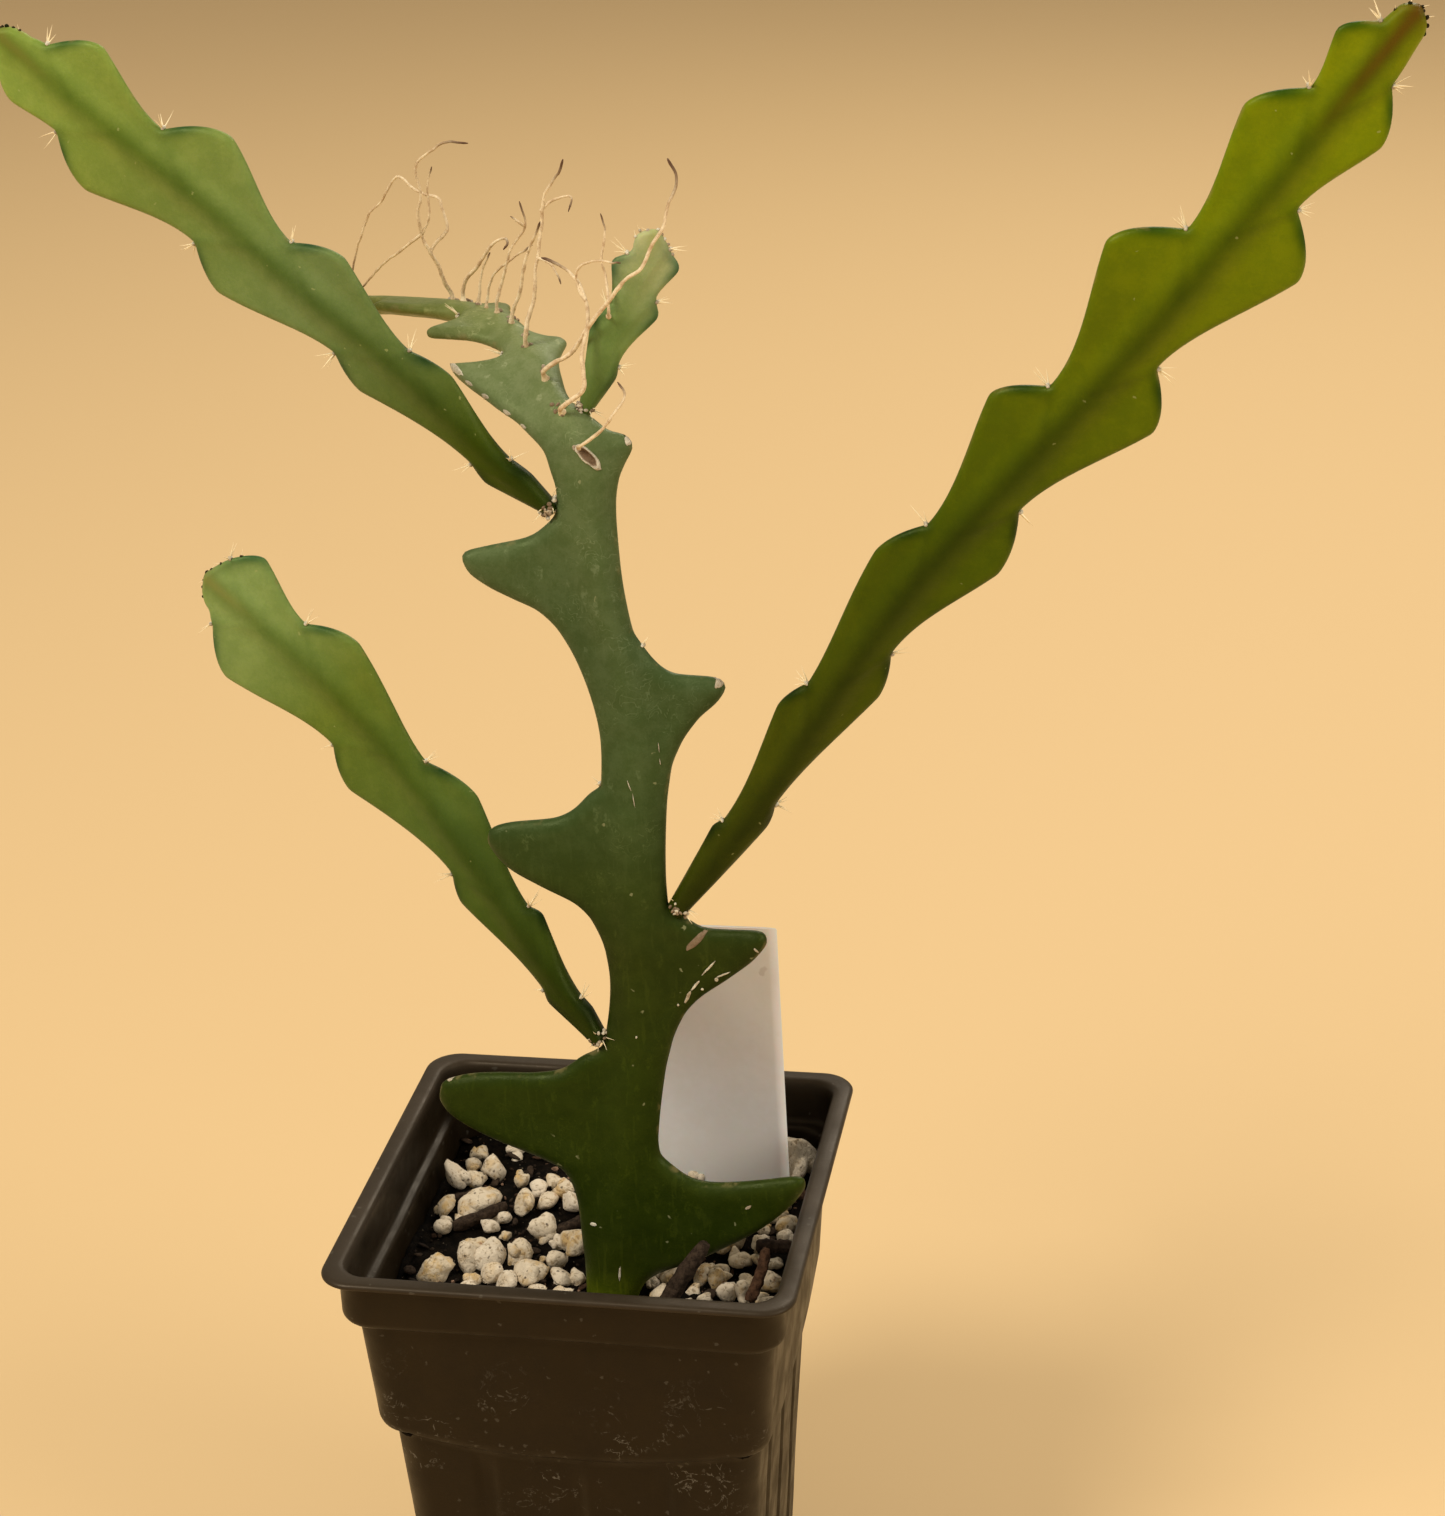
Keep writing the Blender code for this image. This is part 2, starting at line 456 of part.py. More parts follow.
def build_pot(parts):
    """The square pot: outside profile, rim and inside profile lofted round, fluted and with drain holes."""
    floor_half = POT_OUTSIDE[1][0] - WALL
    floor_level = FLOOR - POT_HEIGHT
    inside = POT_INSIDE + [(floor_half, floor_level, 0)]
    rings = [rounded_square(half, RIM_CORNER if half > 47 else BODY_CORNER, z, bow * SHOULDER_BOW)
             for half, z, bow in POT_OUTSIDE]
    rings += [rounded_square(half, BODY_CORNER - WALL, z, bow * SHOULDER_BOW) for half, z, bow in inside]
    pot = new_object("pot", loft(rings), parts, finish("pot"))
    cutters = new_collection("pot_cutters")
    lean = math.atan((POT_OUTSIDE[2][0] - POT_OUTSIDE[1][0]) / (POT_OUTSIDE[2][1] - POT_OUTSIDE[1][1]))
    middle = (FLUTE_TOP + FLUTE_BOTTOM) / 2
    share = (middle - POT_OUTSIDE[1][1]) / (POT_OUTSIDE[2][1] - POT_OUTSIDE[1][1])
    face = POT_OUTSIDE[1][0] + share * (POT_OUTSIDE[2][0] - POT_OUTSIDE[1][0])
    size = (FLUTE_WIDTH, 2 * FLUTE_DEPTH, FLUTE_TOP - FLUTE_BOTTOM)
    for side in range(4):
        for column in (-1, 0, 1):
            place = (Matrix.Rotation(side * math.pi / 2, 4, "Z")
                     @ Matrix.Translation((column * FLUTE_SPACING, -face, middle + POT_HEIGHT))
                     @ Matrix.Rotation(lean, 4, "X"))
            new_object(f"flute_{side}_{column + 1}", slab(size, place), cutters)
        x = DRAIN_OFFSET * (1 if side in (0, 3) else -1)
        y = DRAIN_OFFSET * (1 if side in (0, 1) else -1)
        hole = rod((x, y, -POT_HEIGHT - 1), (x, y, floor_level + 1), DRAIN_RADIUS, DRAIN_RADIUS, 12)
        new_object(f"drain_{side}", hole, cutters)
    cut(pot, cutters)


def soil_height(x, y):
    """The mix's surface: level, with low swells."""
    return SOIL_LEVEL + 0.7 * math.sin(x / 7.3 + 1) * math.cos(y / 6.1) + 0.4 * math.sin((x + y) / 4.7)


def grain_places(draw):
    """Scattered grains of perlite that keep clear of the wall, the stem, its low lobe and the label."""
    places = [BIG_GRAIN]
    tries = 0
    while len(places) < GRAINS and tries < 4000:
        tries += 1
        size = draw.uniform(*GRAIN_SIZE)
        limit = 41.4 - size
        x = draw.uniform(-limit, limit)
        y = draw.uniform(-limit, limit)
        near_stem = -3 - size < x < 27 + size and abs(y + 19) < 5.5 + size
        near_label = -1 - size < x < 41 and abs(y - LABEL_FOOT[1]) < 1.6 + size
        crowded = any(math.hypot(x - px, y - py) < 0.9 * (size + other) for (px, py, _), other in places)
        if not (near_stem or near_label or crowded):
            places.append(((x, y, soil_height(x, y) + 0.35 * size), size))
    return places


def build_soil(parts):
    """The plug of potting mix, with perlite and bark grown into its top and slots for stem and label."""
    wall = [(half - GAP, z + GAP, bow * SHOULDER_BOW) for half, z, bow in POT_INSIDE if z < SOIL_LEVEL]
    top_share = (SOIL_LEVEL - POT_INSIDE[7][1]) / (POT_INSIDE[8][1] - POT_INSIDE[7][1])
    top_half = POT_INSIDE[7][0] + top_share * (POT_INSIDE[8][0] - POT_INSIDE[7][0]) - GAP
    corner = BODY_CORNER - WALL
    rings = [rounded_square(POT_OUTSIDE[1][0] - WALL - GAP, corner, FLOOR + GAP - POT_HEIGHT)]
    rings += [rounded_square(half, corner, z, bow) for half, z, bow in reversed(wall)]
    rings.append(rounded_square(top_half, corner, SOIL_LEVEL - 0.6))
    for step in range(1, SOIL_RINGS + 1):
        share = 1 - step / (SOIL_RINGS + 0.6)
        ring = rounded_square(top_half * share, corner * share, 0)
        rings.append([(x, y, soil_height(x, y)) for x, y, _ in ring])
    soil = new_object("soil", loft(rings), parts, finish("soil"))
    draw = random.Random(SEED)
    extras = new_collection("mix")
    for number, (place, size) in enumerate(grain_places(draw)):
        bm = bmesh.new()
        bmesh.ops.create_icosphere(bm, subdivisions=1, radius=size)
        turn = Matrix.Rotation(draw.uniform(0, 3), 4, Vector((draw.uniform(-1, 1), draw.uniform(-1, 1), 1)))
        stretch = Matrix.Diagonal((draw.uniform(0.85, 1.15), draw.uniform(0.75, 1.0), 0.8, 1))
        centre = Matrix.Translation(Vector(place) + Vector((0, 0, POT_HEIGHT)))
        bmesh.ops.transform(bm, matrix=Matrix.Scale(MM, 4) @ centre @ turn @ stretch, verts=bm.verts)
        new_object(f"grain_{number}", bm, extras)
    for number, (start, end) in enumerate(BARK_STICKS):
        new_object(f"bark_{number}", rod(start, end, BARK_RADIUS, 0.8 * BARK_RADIUS, 6), extras)
    fuse(soil, extras, "MANIFOLD")
    cutters = new_collection("soil_cutters")
    x, y, z = STEM_AXIS[0][:3]
    slot = [[(x + STEM_SLOT[0] * math.cos(a) * (1 + 0.12 * math.sin(2 * a) ** 2),
              y + STEM_SLOT[1] * math.sin(a) * (1 + 0.12 * math.sin(2 * a) ** 2), height)
             for a in np.arange(16) * math.pi / 8] for height in (z - GAP, SOIL_LEVEL + 6)]
    new_object("stem_slot", loft(slot), cutters)
    size = (LABEL_WIDTH + 2 * GAP, LABEL_THICKNESS + 2 * GAP, LABEL_LENGTH + GAP)
    place = label_place() @ Matrix.Translation((0, 0, (LABEL_LENGTH - GAP) / 2))
    new_object("label_slot", slab(size, place), cutters)
    cut(soil, cutters)


def label_place():
    """The label's own frame: foot in the mix, standing up, turned a little in its plane."""
    x, y, z = LABEL_FOOT
    return Matrix.Translation((x, y, z + POT_HEIGHT)) @ Matrix.Rotation(LABEL_TURN, 4, "Y")


def build_label(parts):
    """A flat plastic label, square at the top and pointed at its foot."""
    curve = bpy.data.curves.new("plant_label", "CURVE")
    curve.dimensions = "2D"
    curve.fill_mode = "BOTH"
    curve.extrude = LABEL_THICKNESS / 2 * MM
    half = LABEL_WIDTH / 2
    clipped = 1.0
    outline = [(-6, 0), (6, 0), (half, LABEL_POINT), (half, LABEL_LENGTH - clipped),
               (half - clipped, LABEL_LENGTH), (clipped - half, LABEL_LENGTH),
               (-half, LABEL_LENGTH - clipped), (-half, LABEL_POINT)]
    spline = curve.splines.new("POLY")
    spline.points.add(len(outline) - 1)
    for point, (x, y) in zip(spline.points, outline):
        point.co = (x * MM, y * MM, 0, 1)
    spline.use_cyclic_u = True
    flat = bpy.data.objects.new("label_outline", curve)
    bpy.context.scene.collection.objects.link(flat)
    bm = bmesh.new()
    bm.from_mesh(bpy.data.meshes.new_from_object(flat.evaluated_get(bpy.context.evaluated_depsgraph_get())))
    bpy.data.objects.remove(flat)
    bmesh.ops.remove_doubles(bm, verts=bm.verts, dist=0.00001)
    place = label_place()
    place.translation *= MM
    bmesh.ops.transform(bm, matrix=place @ Matrix.Rotation(math.pi / 2, 4, "X"), verts=bm.verts)
    new_object("plant_label", bm, parts, finish("plant_label"))


def add_spines(stem, sheet, areoles):
    """Two stiff spines at each areole, one turned to the front and one to the back."""
    extras = new_collection("spines")
    for number, (station, side) in enumerate(areoles):
        sign = -1 if side == "left" else 1
        root = sign * (sheet.margins[side](station) - SPINE_SUNK)
        _, run, across, front = sheet.frame(station)
        for turn in (-1, 1):
            way = 0.85 * sign * across + 0.3 * run + 0.4 * turn * front
            way /= np.linalg.norm(way)
            start = sheet.place(station, root, 0)
            end = start + way * (SPINE_SUNK + SPINE_LENGTH)
            new_object(f"spine_{number}_{turn + 1}", rod(start, end, SPINE_ROOT, 0.1, 3), extras)
    fuse(stem, extras)


def build_sheet(name, sheet, stations, areoles, parts):
    """One flat stem: its sections lofted along the axis, with its spines."""
    rows = [stations[0]]
    for station in stations:
        if station - rows[-1] > 0.4:
            rows.append(station)
    stem = new_object(name, loft([sheet.section(s) for s in rows]), parts, finish(name))
    add_spines(stem, sheet, areoles)


def main_stem_sheet():
    """The old stem, whose lobes are long fingers and whose top bends over backwards."""
    margins = {"left": steady_curve(STEM_LEFT), "right": steady_curve(STEM_RIGHT)}
    leans = {"left": steady_curve(LEFT_LEAN), "right": steady_curve(RIGHT_LEAN)}
    start = STEM_AXIS[0][2] - STEM_AXIS[1][2]
    return Sheet(STEM_AXIS, (0, -1), start, margins, leans, STEM_THICKNESS)


def shoot_sheet(name, stem):
    """A young shoot, thin and waved along both margins. Returns its sheet and its rows' stations."""
    shoot = SHOOTS[name]
    station, side = shoot["areole"]
    margin = stem.margins[side](station)
    areole = stem.place(station, margin if side == "right" else -margin, 0)
    way = np.array(shoot["axis"][0][:3]) - areole
    base = areole + way * shoot["seat"] / np.linalg.norm(way)
    axis = [(*base, 0)] + shoot["axis"]
    points = np.array([row[:3] for row in axis])
    end = shoot["seat"] + float(np.linalg.norm(np.diff(points, axis=0), axis=1).sum())
    left, left_stations = lobed_margin(shoot["left"], end)
    right, right_stations = lobed_margin(shoot["right"], end)
    plain = steady_curve([(0, 0), (1, 0)])
    sheet = Sheet(axis, shoot["face"], shoot["seat"], {"left": left, "right": right},
                  {"left": plain, "right": plain}, shoot["thickness"])
    stations = [s for s in left_stations + right_stations if s > sheet.start]
    return sheet, sorted([sheet.start, *stations, end])


def build_stems(parts):
    """The main stem and the shoots. Returns their sheets."""
    stem = main_stem_sheet()
    sheets = {"main_stem": stem}
    stations = sorted(s for s, _ in STEM_LEFT + STEM_RIGHT if s < stem.end)
    build_sheet("main_stem", stem, stations, STEM_SPINES, parts)
    for name, shoot in SHOOTS.items():
        sheets[name], stations = shoot_sheet(name, stem)
        areoles = [(row[0], side) for side in ("left", "right") for row in shoot[side] if row[0] > 0]
        build_sheet(name, sheets[name], stations, areoles, parts)
    return sheets


def strand(name, radius, foot, points, sheets, collection):
    """One root as a tube that thins towards its end, square to the stem at its foot."""
    if foot:
        place, front = sheets[foot[0]].seat(*foot[1:])
        points = [tuple(place), tuple(place + ROOT_FOOT * front), *points]
    curve = bpy.data.curves.new(name, "CURVE")
    curve.dimensions = "3D"
    curve.bevel_depth = radius * MM
    curve.bevel_resolution = 0
    curve.use_fill_caps = True
    spline = curve.splines.new("POLY")
    spline.points.add(len(points) - 1)
    for i, (point, (x, y, z)) in enumerate(zip(spline.points, points)):
        point.co = (x * MM, y * MM, (z + POT_HEIGHT) * MM, 1)
        point.radius = 1 - 0.35 * i / (len(points) - 1)
    tube = bpy.data.objects.new(name, curve)
    collection.objects.link(tube)
    bm = bmesh.new()
    bm.from_mesh(bpy.data.meshes.new_from_object(tube.evaluated_get(bpy.context.evaluated_depsgraph_get())))
    bpy.data.objects.remove(tube)
    bmesh.ops.remove_doubles(bm, verts=bm.verts, dist=0.00001)
    return new_object(name, bm, collection)


def build_roots(name, sheets, parts):
    """The aerial roots that run into each other, as one body."""
    radius, foot, points = ROOTS[name][0]
    first = strand(name, radius, foot, points, sheets, parts)
    extras = new_collection("strands")
    for number, (radius, foot, points) in enumerate(ROOTS[name][1:]):
        strand(f"strand_{number}", radius, foot, points, sheets, extras)
    fuse(first, extras)
    first.data.materials.clear()
    first.data.materials.append(finish("root"))


def build():
    for obj in list(bpy.data.objects):
        bpy.data.objects.remove(obj)
    parts = new_collection("potted_fishbone_cactus")
    build_pot(parts)
    build_soil(parts)
    build_label(parts)
    sheets = build_stems(parts)
    for name in ROOTS:
        build_roots(name, sheets, parts)


build()
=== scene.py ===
"""The potted fishbone cactus with fine skins, spines, roots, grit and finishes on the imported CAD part.
Lengths are in millimetres here and become metres in the meshes. X runs to the right, Y away from the
front and Z up. Every Z is a height above the pot's rim, so what lies in the pot is negative."""

import json
import math

import bmesh
import bpy
import numpy as np
from mathutils import Matrix, Vector

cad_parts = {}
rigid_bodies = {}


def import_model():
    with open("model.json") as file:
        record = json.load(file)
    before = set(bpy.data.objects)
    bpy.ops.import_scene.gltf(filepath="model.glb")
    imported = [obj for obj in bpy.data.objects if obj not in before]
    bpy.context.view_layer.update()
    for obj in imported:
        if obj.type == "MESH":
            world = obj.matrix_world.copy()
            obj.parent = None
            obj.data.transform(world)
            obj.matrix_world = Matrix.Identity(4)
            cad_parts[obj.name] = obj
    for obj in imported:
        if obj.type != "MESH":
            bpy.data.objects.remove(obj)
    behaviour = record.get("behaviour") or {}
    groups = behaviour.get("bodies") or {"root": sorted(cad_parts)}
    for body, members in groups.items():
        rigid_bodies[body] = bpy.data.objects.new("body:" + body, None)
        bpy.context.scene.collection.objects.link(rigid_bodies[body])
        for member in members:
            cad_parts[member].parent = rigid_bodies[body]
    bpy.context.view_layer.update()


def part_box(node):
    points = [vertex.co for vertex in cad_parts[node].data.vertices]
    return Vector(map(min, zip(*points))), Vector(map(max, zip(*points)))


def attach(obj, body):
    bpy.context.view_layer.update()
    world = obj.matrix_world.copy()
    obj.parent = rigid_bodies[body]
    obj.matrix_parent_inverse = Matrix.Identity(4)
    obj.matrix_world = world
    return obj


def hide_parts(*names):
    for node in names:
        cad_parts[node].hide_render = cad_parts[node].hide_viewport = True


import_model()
MM = 0.001
RIM_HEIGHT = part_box("pot")[1].z / MM

# Pot: half width of the square, height, share of the shoulder's bow and corner radius
POT_OUTSIDE = [(33.0, -120.0, 0, 6.4), (33.8, -120.0, 0, 7), (34.7, -119.1, 0, 7), (39.6, -48.0, 1, 7),
               (40.2, -46.2, 1, 7), (42.0, -44.9, 1, 7), (42.5, -43.3, 1, 7), (44.1, -14.9, 0, 7),
               (44.4, -13.0, 0, 7), (46.3, -12.6, 0, 7), (46.9, -11.4, 0, 7), (47.0, -1.9, 0, 7),
               (48.6, -1.6, 0, 7.3), (49.8, -1.4, 0, 7.3), (50.0, -0.8, 0, 7.3), (49.6, -0.2, 0, 7.3)]
POT_INSIDE = [(48.9, 0.0, 0, 7), (46.4, 0.0, 0, 6), (45.7, -0.5, 0, 5.7), (45.4, -1.5, 0, 5.7),
              (45.2, -9.8, 0, 5.7), (44.7, -10.7, 0, 5.7), (43.2, -11.0, 0, 5.7), (42.8, -11.8, 0, 5.7),
              (41.2, -42.2, 1, 5.7), (40.7, -43.6, 1, 5.7), (38.9, -44.9, 1, 5.7), (38.2, -47.0, 1, 5.7),
              (33.6, -117.6, 0, 5.7), (33.0, -118.4, 0, 5.4)]
SHOULDER_BOW = 3.6
FLUTE_SPACING = 19.0
FLUTE_WIDTH = 4.0
FLUTE_DEPTH = 0.7
FLUTE_TOP = -50.0
FLUTE_BOTTOM = -112.0
DRAIN_RADIUS = 4.0
DRAIN_OFFSET = 23.0

# Potting mix
SOIL_LEVEL = -18.6
SOIL_HALF = 42.2
# perlite grains: place and half sizes across and up
PERLITE = [(-36.0, 33.7, 1.9, 1.7), (-36.2, 28.6, 2.1, 1.7), (-30.8, 25.7, 2.7, 3.3),
           (-34.3, 22.9, 2.4, 2.1), (-38.0, 20.6, 2.4, 4.0), (-27.1, 33.7, 1.5, 1.0),
           (-23.3, 22.0, 1.5, 2.2), (-30.7, 11.0, 5.1, 3.0), (-37.8, 8.0, 2.2, 2.4),
           (-36.3, 0.7, 2.8, 2.3), (-33.1, 4.1, 1.9, 1.3), (-26.5, 7.7, 1.7, 1.3), (-23.8, 6.8, 1.9, 1.9),
           (-26.2, 2.8, 2.8, 1.9), (-22.0, 0.2, 1.5, 1.2), (-20.4, 12.2, 1.9, 3.4),
           (-18.9, 19.3, 2.4, 2.0), (-15.7, 21.6, 2.0, 1.7), (-15.7, 14.0, 3.0, 2.0),
           (-12.5, 17.7, 1.9, 2.4), (-9.7, 12.8, 2.1, 3.0), (-13.8, 2.6, 2.5, 3.3), (-9.5, -1.7, 1.6, 2.1),
           (-11.7, -8.2, 1.0, 0.8), (-5.4, -2.7, 2.5, 4.1), (-8.3, -10.2, 2.0, 2.7),
           (-16.2, -8.7, 2.9, 3.6), (-22.1, -10.0, 2.9, 3.9), (-26.6, -5.2, 3.0, 2.0),
           (-27.4, -11.2, 2.8, 3.8), (-35.8, -10.4, 0.7, 1.0), (-33.3, -17.6, 3.8, 2.9),
           (-33.6, -21.6, 1.4, 0.9), (-24.8, -19.1, 1.9, 1.7), (-20.9, -17.5, 2.9, 2.6),
           (-17.1, -20.0, 2.9, 2.1), (-12.1, -16.5, 2.9, 3.2), (-5.2, -16.8, 2.9, 1.9),
           (-2.3, -15.3, 1.8, 2.1), (-4.4, -21.9, 2.9, 1.3), (-9.9, -20.2, 1.9, 1.3),
           (13.9, -15.1, 1.4, 1.7), (16.9, -19.9, 2.9, 1.9), (17.9, -13.5, 2.9, 2.2),
           (24.6, -13.3, 1.6, 2.9), (27.9, -8.8, 1.9, 1.9), (27.8, -13.5, 2.5, 3.2),
           (31.2, -18.2, 2.2, 2.0), (26.6, -21.0, 2.5, 1.3), (31.5, -3.1, 2.9, 1.9),
           (33.9, -12.1, 1.8, 1.9), (34.3, -18.4, 1.6, 3.3), (36.0, -14.8, 1.6, 1.6),
           (39.0, -20.1, 2.4, 1.9), (39.0, -13.6, 2.1, 3.8), (39.6, -4.4, 1.8, 1.4), (39.6, 6.4, 1.9, 1.7),
           (39.0, 11.1, 2.4, 2.4), (15.0, 29.0, 2.4, 2.0), (6.8, 35.9, 1.1, 1.0), (39.1, 35.2, 3.5, 6.3),
           (39.4, 27.4, 1.8, 1.7)]
SCATTERED_GRAINS = 46
MOST_TRIES = 6000
GRAIN_SWELL = 1.18
CRUMBS = 900
CHIPS = 150
# bark sticks: one end, the other, radius and tone
BARK_STICKS = [((17.6, -29.0, -17.5), (28.3, -26.5, 0.8), 1.85, 0.25),
               ((36.6, -24.0, -14.5), (39.2, -16.0, -6.2), 1.3, 0.7),
               ((34.5, -1.0, -15.5), (43.0, -2.0, -14.5), 1.5, 0.45),
               ((-34.0, 0.5, -16.5), (-24.0, 9.5, -15.5), 1.4, 0.3),
               ((-12.0, 3.0, -18.0), (-4.0, 9.0, -16.0), 1.2, 0.2),
               ((-38.0, 14.0, -18.0), (-31.0, 15.5, -16.5), 1.1, 0.35)]

# Label
LABEL_WIDTH = 35.0
LABEL_LENGTH = 91.0
LABEL_THICKNESS = 0.7
LABEL_FOOT = (20.3, 28.6, -44.4)
LABEL_POINT = 9.0
LABEL_POINT_HALF = 6
LABEL_TOP_ROUND = 0.5
LABEL_BOW = 0.35
LABEL_TURN = math.radians(-1.2)

# A stem is a flat sheet along an axis. Axis rows are (x, y, z, tilt), where tilt is how far the sheet's
# front turns up from level, in degrees. Lobes alternate along both margins.
STEM_AXIS = [(5.9, -19, -43, 0), (5.9, -19, -18.5, 0), (9, -19.5, 8, 0), (12, -20, 28, 0),
             (15, -20, 47, 0), (15.5, -20, 65, 0), (15.3, -20, 83, 0), (16.2, -20, 99, 0),
             (17, -20, 112, 0), (15.8, -20, 124, 0), (13.4, -20, 136, 0), (11.4, -19.6, 147.5, 2),
             (10.3, -18.8, 158.5, 7), (9.6, -17.4, 167.6, 14), (7.7, -15.2, 172.8, 24),
             (4.6, -12.1, 176, 38), (0.2, -6.3, 179.6, 53), (-5, 1.1, 182.7, 67), (-9.9, 8, 184.8, 79),
             (-15, 14, 186, 89), (-21.5, 20, 186.2, 97), (-29, 25.6, 185.5, 102),
             (-38, 30.5, 184.6, 104), (-47, 35, 183.6, 105), (-52, 37, 183, 105)]
# station along the axis and distance out from it, with the soil line at station 0
STEM_LEFT = [(-24.5, 4.2), (-22, 5), (0, 5.5), (7, 6), (14, 7.2), (21, 8.5), (26, 10.2), (29.5, 12.8),
             (31.2, 17), (33.3, 26), (36.2, 34.6), (38.6, 38.5), (41.5, 40.2), (44.2, 39.9),
             (46, 37.4), (47.8, 33), (49.3, 27), (50.6, 21), (53, 15.2), (57, 11.5), (61, 7.4),
             (66, 6.8), (77, 6.2), (84, 6.8), (90.6, 9), (94.2, 12), (97.8, 19), (101.4, 25.8),
             (104, 28.4), (106.5, 29.8), (108.3, 29.4), (109.8, 26.8), (110.8, 22.3), (111.8, 16.5),
             (114, 12.5), (118, 9), (120.3, 6.8), (130, 7), (141, 7.8), (149, 8.8), (155.5, 10.6),
             (160, 13.6), (163.3, 18.6), (166, 22.8), (169.2, 26.2), (171.4, 26.8), (172.6, 25.4),
             (173, 22), (173.3, 16.5), (174.6, 11.4), (178.6, 6.9), (182, 6.6), (188, 7.4), (195, 7.7),
             (200, 8.6), (205, 11.4), (210.5, 13.6), (214.4, 14.4), (216.6, 14.2), (217.4, 11.5),
             (217.9, 7.3), (219, 4.4), (221.6, 3.8), (225.4, 5), (229.3, 7.6), (232.2, 11.4),
             (234.5, 14.6), (235.7, 14.4), (236.4, 12), (238, 6.6), (240.5, 3.4), (246, 5), (252, 7.6),
             (258, 9.2), (261.5, 9.2), (263.2, 7.4), (264.5, 4.4), (271, 3.8), (278, 2)]
STEM_RIGHT = [(-24.5, 4.2), (-22, 5), (-1, 5.6), (3.6, 7), (6.6, 10), (10, 18.4), (12.2, 23),
              (15.6, 30.2), (18.4, 34.2), (21, 37), (24.3, 38.6), (26.6, 37.8), (28, 34), (28.7, 29),
              (29.2, 24), (29.8, 18.5), (31.3, 14.5), (34, 11), (37.5, 7.6), (42, 6.8), (57, 6.3),
              (64.3, 7), (70, 9), (74, 12.3), (78.3, 18.8), (82.2, 24.4), (85.4, 26.7), (87.2, 26.1),
              (88.1, 23.5), (88.5, 18), (89, 14.4), (91, 11.2), (95, 6.9), (103, 6.7), (117, 6.7), (125, 7.2),
              (130, 9), (134.8, 13), (138, 17.7), (140.2, 19.4), (141.7, 18.4), (142.5, 15),
              (143.2, 10.4), (145.6, 7.2), (150, 4.9), (153.5, 3.8), (162, 4), (172, 4.6), (180, 5),
              (184, 5.8), (186.6, 7.4), (189, 9.5), (190.4, 8.7), (191.7, 5.8), (194, 4.2),
              (197.7, 2.7), (202, 2.2), (207, 3), (212, 4.4), (215, 6.6), (217.2, 8.2), (219, 7.9),
              (221, 5.8), (225, 3.6), (231, 3.8), (238, 7), (243.5, 11), (246, 11.6), (247.6, 9),
              (249, 4.8), (256, 4.2), (262, 7), (266, 8.2), (268, 5), (278, 2)]
# how far a lobe's tip runs on towards the stem's end: stations and the run at LEAN_REACH out
LEAN_REACH = 38.7
LEFT_LEAN = [(186, 0), (203, 40), (208, 50), (219, 50), (227, 0)]
RIGHT_LEAN = [(-6, 0), (4, 12), (30, 12), (44, 0), (64, 0), (72, 4), (91, 4), (98, 0)]
# rib and wing are half thicknesses, the foot is how far the rib spreads and the round is the edge's;
# all shrink between the two taper stations to the share given third
STEM_THICKNESS = {"rib": 3.2, "wing": 1.9, "foot": 4.2, "round": 3.2, "taper": (185, 245, 0.62)}
STEM_AREOLES = [(62, "left"), (120.3, "left"), (178.4, "left"), (220, "left"), (241, "left"), (267, "left"),
                (38.5, "right"), (93, "right"), (150, "right"), (196.4, "right"), (226, "right"),
                (252, "right")]
STEM_SPINES = [(62, "left", 3), (93, "right", 3), (120.3, "left", 2), (178.4, "left", 4), (196.4, "right", 2),
               (220, "left", 3), (241, "left", 3), (150, "right", 2)]

